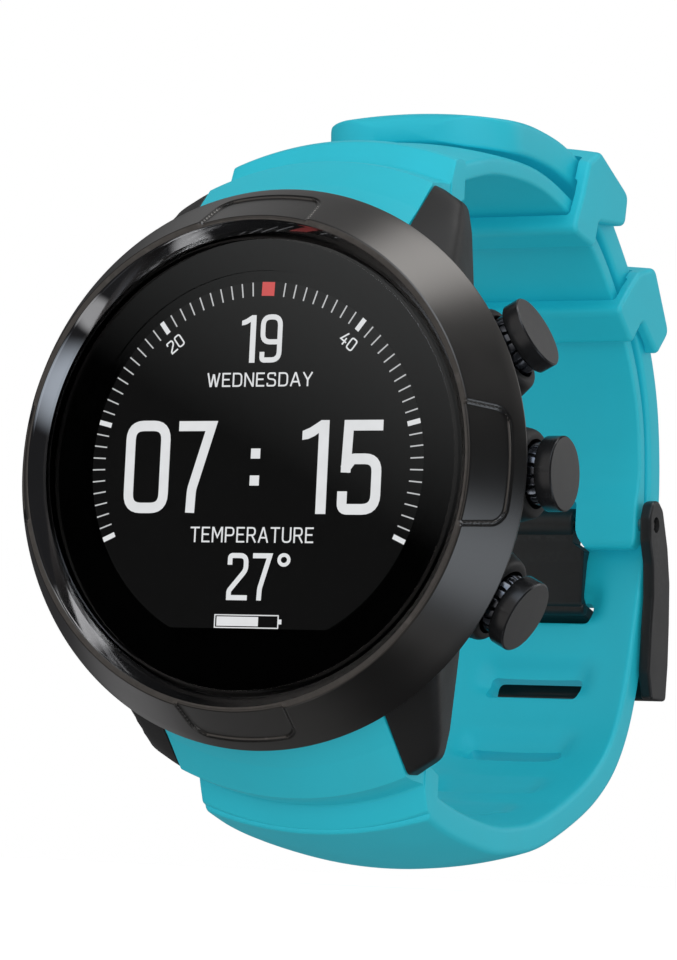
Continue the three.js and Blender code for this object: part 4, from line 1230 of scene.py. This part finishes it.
def make_tongue():
    shank = rounded([
        (57.2, -0.2), (56.1, -3), (55.6, -6.6), (56.3, -7.4), (60.6, -8.4), (62, -9.3), (62.5, -15.2),
        (61.9, -16.4), (61.3, -16), (61.2, -10.5), (60.3, -10), (56, -8.75), (54.6, -7.5),
        (54.7, -3), (54.7, 0.4),
    ], [0.6, 1, 0.6, 0.6, 0.8, 0.8, 0.5, 0.25, 0.25, 0.6, 0.8, 1, 0.8, 1, 0.5], 5)
    wide = solid(slab(shank, -TONGUE_HALF, TONGUE_HALF, 0.25))

    def shoulder(x):
        return rectangle(50, -0.9 if abs(x) < 4 else -3.7, 60, 4)

    necks = [solid(across([s * 3.6, s * 8], shoulder)) for s in (1, -1)]
    heel = solid(moved(rod(1.7, -3.5, 3.5, 48, 0.25), 0, PIVOT_Y, PIVOT_Z))
    hole = solid(moved(rod(PIVOT_BORE_R, -8, 8, 40, 0), 0, PIVOT_Y, PIVOT_Z))
    rolled = solid(moved(rod(0.7, -5.1, 5.1, 32, 0.5), 0, 55.5, -7.95))
    tongue = carve(carve(carve(wide, necks), [heel, rolled], "UNION"), [hole])
    piece("buckle_tongue_coated", tongue, BUCKLE_BLACK, "buckle_tongue", ["buckle_tongue"], 46)
    pin = moved(rod(PIVOT_R, -12.3, 12.3, 40, 0.2), 0, PIVOT_Y, PIVOT_Z)
    piece("buckle_bar_turned", solid(pin), STEEL, stands_for=["buckle_bar"])


# ---- spring bars
LEVER_X = 9.2  # the release lever's place along its bar


def bar_coil(turns=5, steps=16):
    """A round wire coil along X."""
    rings = []
    total = turns * steps
    for k in range(total + 1):
        angle = 2 * math.pi * k / steps
        x = lerp(3.8, 5.7, k / total)
        rings.append([
            (x + 0.09 * math.sin(b), (0.38 + 0.09 * math.cos(b)) * math.cos(angle),
             (0.38 + 0.09 * math.cos(b)) * math.sin(angle))
            for b in [math.pi / 4 * j for j in range(8)]
        ])
    return loft(rings)


def make_spring_bars():
    for name, sz in (("upper", 1), ("lower", -1)):
        place = Matrix.Translation((0, BAR_Y * MM, sz * BAR_Z * MM))
        tube = rounded([
            (0, -13), (0.5, -13), (0.5, -11.5), (0.9, -11.5), (0.9, 11.5), (0.62, 11.5), (0.62, 3.5),
            (0, 3.5),
        ], [0, 0.15, 0, 0.15, 0.1, 0.05, 0, 0])
        lever_slot = solid(block(6.4, 10.4, 0, 2, -0.5, 0.5))
        mesh = carve(solid(turned(tube, 40, "X")), [lever_slot])
        mesh.transform(place)
        piece(f"spring_bar_{name}_tube", mesh, STEEL, CASE, [f"spring_bar_{name}"])
        pin = solid(rod(0.45, 6, 13, 32, 0.15))
        lever = solid(moved(plug(0.35, 0, 3), LEVER_X))
        knob = rounded(rectangle(0, 2.6, 0.7, 3.4), [0, 0.15, 0.15, 0])
        thumb = solid(moved(turned(knob, 40), LEVER_X))
        mesh = carve(pin, [lever, thumb], "UNION")
        mesh.transform(place)
        body = f"release_pin_{name}"
        piece(f"{body}_turned", mesh, STEEL, body, [body])
        mesh = solid(bar_coil())
        mesh.transform(place)
        body = f"bar_spring_{name}"
        spring = piece(f"{body}_wire", mesh, STEEL, CASE, [body], flats=False)
        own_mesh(spring)


# ---- CAD pieces that keep their own shape
KEPT = {
    "crystal_gasket": SEAL, "case_back_gasket": SEAL, "chassis": INNER_PLASTIC, "main_board": BOARD,
    "battery": CELL, "vibration_motor": STEEL, "buzzer": INNER_PLASTIC, "pressure_sensor": STEEL,
    "button_top_switch": INNER_PLASTIC, "button_middle_switch": INNER_PLASTIC,
    "button_bottom_switch": INNER_PLASTIC,
}


def finish_kept_nodes():
    for name, material in KEPT.items():
        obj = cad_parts[name]
        obj.data.materials.clear()
        obj.data.materials.append(material)
        bevel = obj.modifiers.new("soft edges", "BEVEL")
        bevel.width = 0.08 * MM
        bevel.segments = 2
        bevel.limit_method = "ANGLE"
        bevel.angle_limit = math.radians(35)


# ---- studio
CAMERA_PLACE = (0.173815, -0.351397, -0.037135)
CAMERA_AXES = ((0.8994, 0.4347, 0.0470), (-0.0009, -0.1058, 0.9944), (0.4372, -0.8944, -0.0947))
CAMERA_LENS = 154.06

# Softboxes as the gloss sees them: direction, cosines where each starts and is full, and colour.
SOFTBOXES = [
    ((0.26, 0.28, 0.925), 0.95, 0.995, (3.9, 3.87, 3.85)),
    ((0.45, -0.16, 0.88), 0.96, 0.99, (2.3, 2.3, 2.3)),
    ((-0.44, 0.51, 0.74), 0.86, 0.98, (0.36, 0.36, 0.36)),
    ((0.91, 0.08, -0.40), 0.93, 0.99, (1.5, 1.66, 1.85)),
    ((-0.71, 0.57, -0.42), 0.97, 0.998, (0.5, 0.5, 0.51)),
    ((0.61, -0.03, -0.79), 0.99, 0.998, (1.3, 1.3, 1.3)),
    ((-0.06, -0.19, -0.98), 0.985, 0.997, (2.4, 2.4, 2.4)),
    ((0.37, 0.93, 0.06), 0.80, 0.97, (0.35, 0.35, 0.35)),
    ((0.30, -0.62, 0.72), 0.90, 0.98, (1.9, 2.1, 2.35)),
    ((0.66, 0.60, 0.45), 0.93, 0.97, (1.7, 1.7, 1.7)),
    ((-0.35, 0.38, -0.86), 0.85, 0.98, (0.2, 0.2, 0.2)),
]
AMBIENT = (0.06, 0.06, 0.063)
# The side of the room that the dial faces: warm round about, dark where the crystal looks, with a soft ramp.
FACING = (-0.437, -0.894, 0.095)
FACING_WARM = (0.74, 0.69, 0.655)
RAMP_ALONG = (0.5, 0.0, 0.85)
RAMP_START, RAMP_END = -0.142, -0.088
RAMP_LOW, RAMP_HIGH = 0.0, 0.95
# The soft light that falls on dull surfaces: strongest from above and from the buttons' side.
FILL_FROM = (0.55, 0.0, 0.83)
FILL_LOW, FILL_HIGH = 0.42, 0.57


def facing_factor(tree, direction, towards, start, full):
    """1 where a direction is close to another one, falling smoothly to 0."""
    dot = node(tree, "VectorMath", {
        0: direction, 1: tuple(Vector(towards).normalized()),
    }, operation="DOT_PRODUCT")
    return node(tree, "MapRange", {
        "Value": dot.outputs["Value"], "From Min": start, "From Max": full,
    }, interpolation_type="SMOOTHSTEP").outputs["Result"]


def make_world():
    world = bpy.data.worlds.new("studio")
    bpy.context.scene.world = world
    world.use_nodes = True
    world.cycles.sampling_method = "NONE"
    tree = world.node_tree
    tree.nodes.clear()
    direction = node(tree, "TexCoord").outputs["Generated"]
    total = mixed(tree, facing_factor(tree, direction, FACING, 0.5, 0.85), (*AMBIENT, 1), (*FACING_WARM, 1))
    along = node(tree, "VectorMath", {0: direction, 1: RAMP_ALONG}, operation="DOT_PRODUCT")
    ramp = remap(tree, along.outputs["Value"], RAMP_LOW, RAMP_HIGH, RAMP_START, RAMP_END)
    total = mixed(tree, facing_factor(tree, direction, FACING, 0.99, 0.996), total, ramp)
    for towards, start, full, color in SOFTBOXES:
        glow = facing_factor(tree, direction, towards, start, full)
        scaled = node(tree, "VectorMath", {0: color, "Scale": glow}, operation="SCALE")
        total = node(tree, "VectorMath", {0: total, 1: scaled.outputs[0]}, operation="ADD").outputs[0]
    rays = node(tree, "LightPath")
    gloss = node(tree, "Background", {"Color": total, "Strength": 1.0})
    height = node(tree, "VectorMath", {0: direction, 1: FILL_FROM}, operation="DOT_PRODUCT")
    level = remap(tree, height.outputs["Value"], FILL_LOW, FILL_HIGH, -0.8, 0.8)
    fill = node(tree, "Background", {"Color": (1.0, 1.0, 1.0, 1.0), "Strength": level})
    backdrop = node(tree, "Background", {"Color": (1.0, 1.0, 1.0, 1.0), "Strength": 1.0})
    first = node(tree, "MixShader", {
        0: rays.outputs["Is Glossy Ray"], 1: fill.outputs[0], 2: gloss.outputs[0],
    })
    second = node(tree, "MixShader", {
        0: rays.outputs["Is Camera Ray"], 1: first.outputs[0], 2: backdrop.outputs[0],
    })
    node(tree, "OutputWorld", {"Surface": second.outputs[0]})


def softbox(name, place, size, power, target=(0, 0.02, 0)):
    light = bpy.data.lights.new(name, "AREA")
    light.shape = "DISK"
    light.size = size
    light.energy = power
    obj = bpy.data.objects.new(name, light)
    bpy.context.collection.objects.link(obj)
    obj.location = place
    obj.rotation_euler = (Vector(target) - Vector(place)).to_track_quat("-Z", "Y").to_euler()
    obj.visible_glossy = False


def make_studio():
    make_world()
    softbox("key_light", (-0.1, -0.35, 0.6), 0.5, 0.8)
    softbox("front_light", (0.22, -0.62, 0.0), 0.6, 1.7)
    softbox("side_light", (0.55, -0.3, -0.02), 0.45, 0.75)
    vertices, faces = block(-1.5, 1.5, -1.5, 1.5, -0.02, 0)
    mesh = bpy.data.meshes.new("floor")
    mesh.from_pydata([(x, y, z + FLOOR_Z * MM) for x, y, z in vertices], [], faces)
    floor = bpy.data.objects.new("floor", mesh)
    bpy.context.collection.objects.link(floor)
    mesh.materials.append(surface(
        "pale_floor", (0.35, 0.35, 0.35), 0.8, mottle=0.01, mottle_mm=40, bump_mm=0.0,
        **{"Emission Color": (1.0, 1.0, 1.0, 1.0), "Emission Strength": 0.9},
    ))
    floor.visible_glossy = False
    floor.visible_diffuse = False
    camera = bpy.data.cameras.new("camera")
    camera.lens = CAMERA_LENS
    camera.sensor_width = 36
    camera.clip_start = 0.01
    rig = bpy.data.objects.new("camera", camera)
    bpy.context.collection.objects.link(rig)
    right, up, back = CAMERA_AXES
    rotation = Matrix((right, up, back)).transposed().to_4x4()
    rig.matrix_world = Matrix.Translation(CAMERA_PLACE) @ rotation
    bpy.context.scene.camera = rig
    bpy.context.scene.view_settings.view_transform = "Standard"


# ---- the object
make_studio()
make_bezel()
make_case()
make_case_back()
make_contacts()
make_crystal()
make_dial()
make_buttons()
make_strap()
make_keepers()
make_buckle()
make_tongue()
make_spring_bars()
finish_kept_nodes()

bpy.context.view_layer.update()
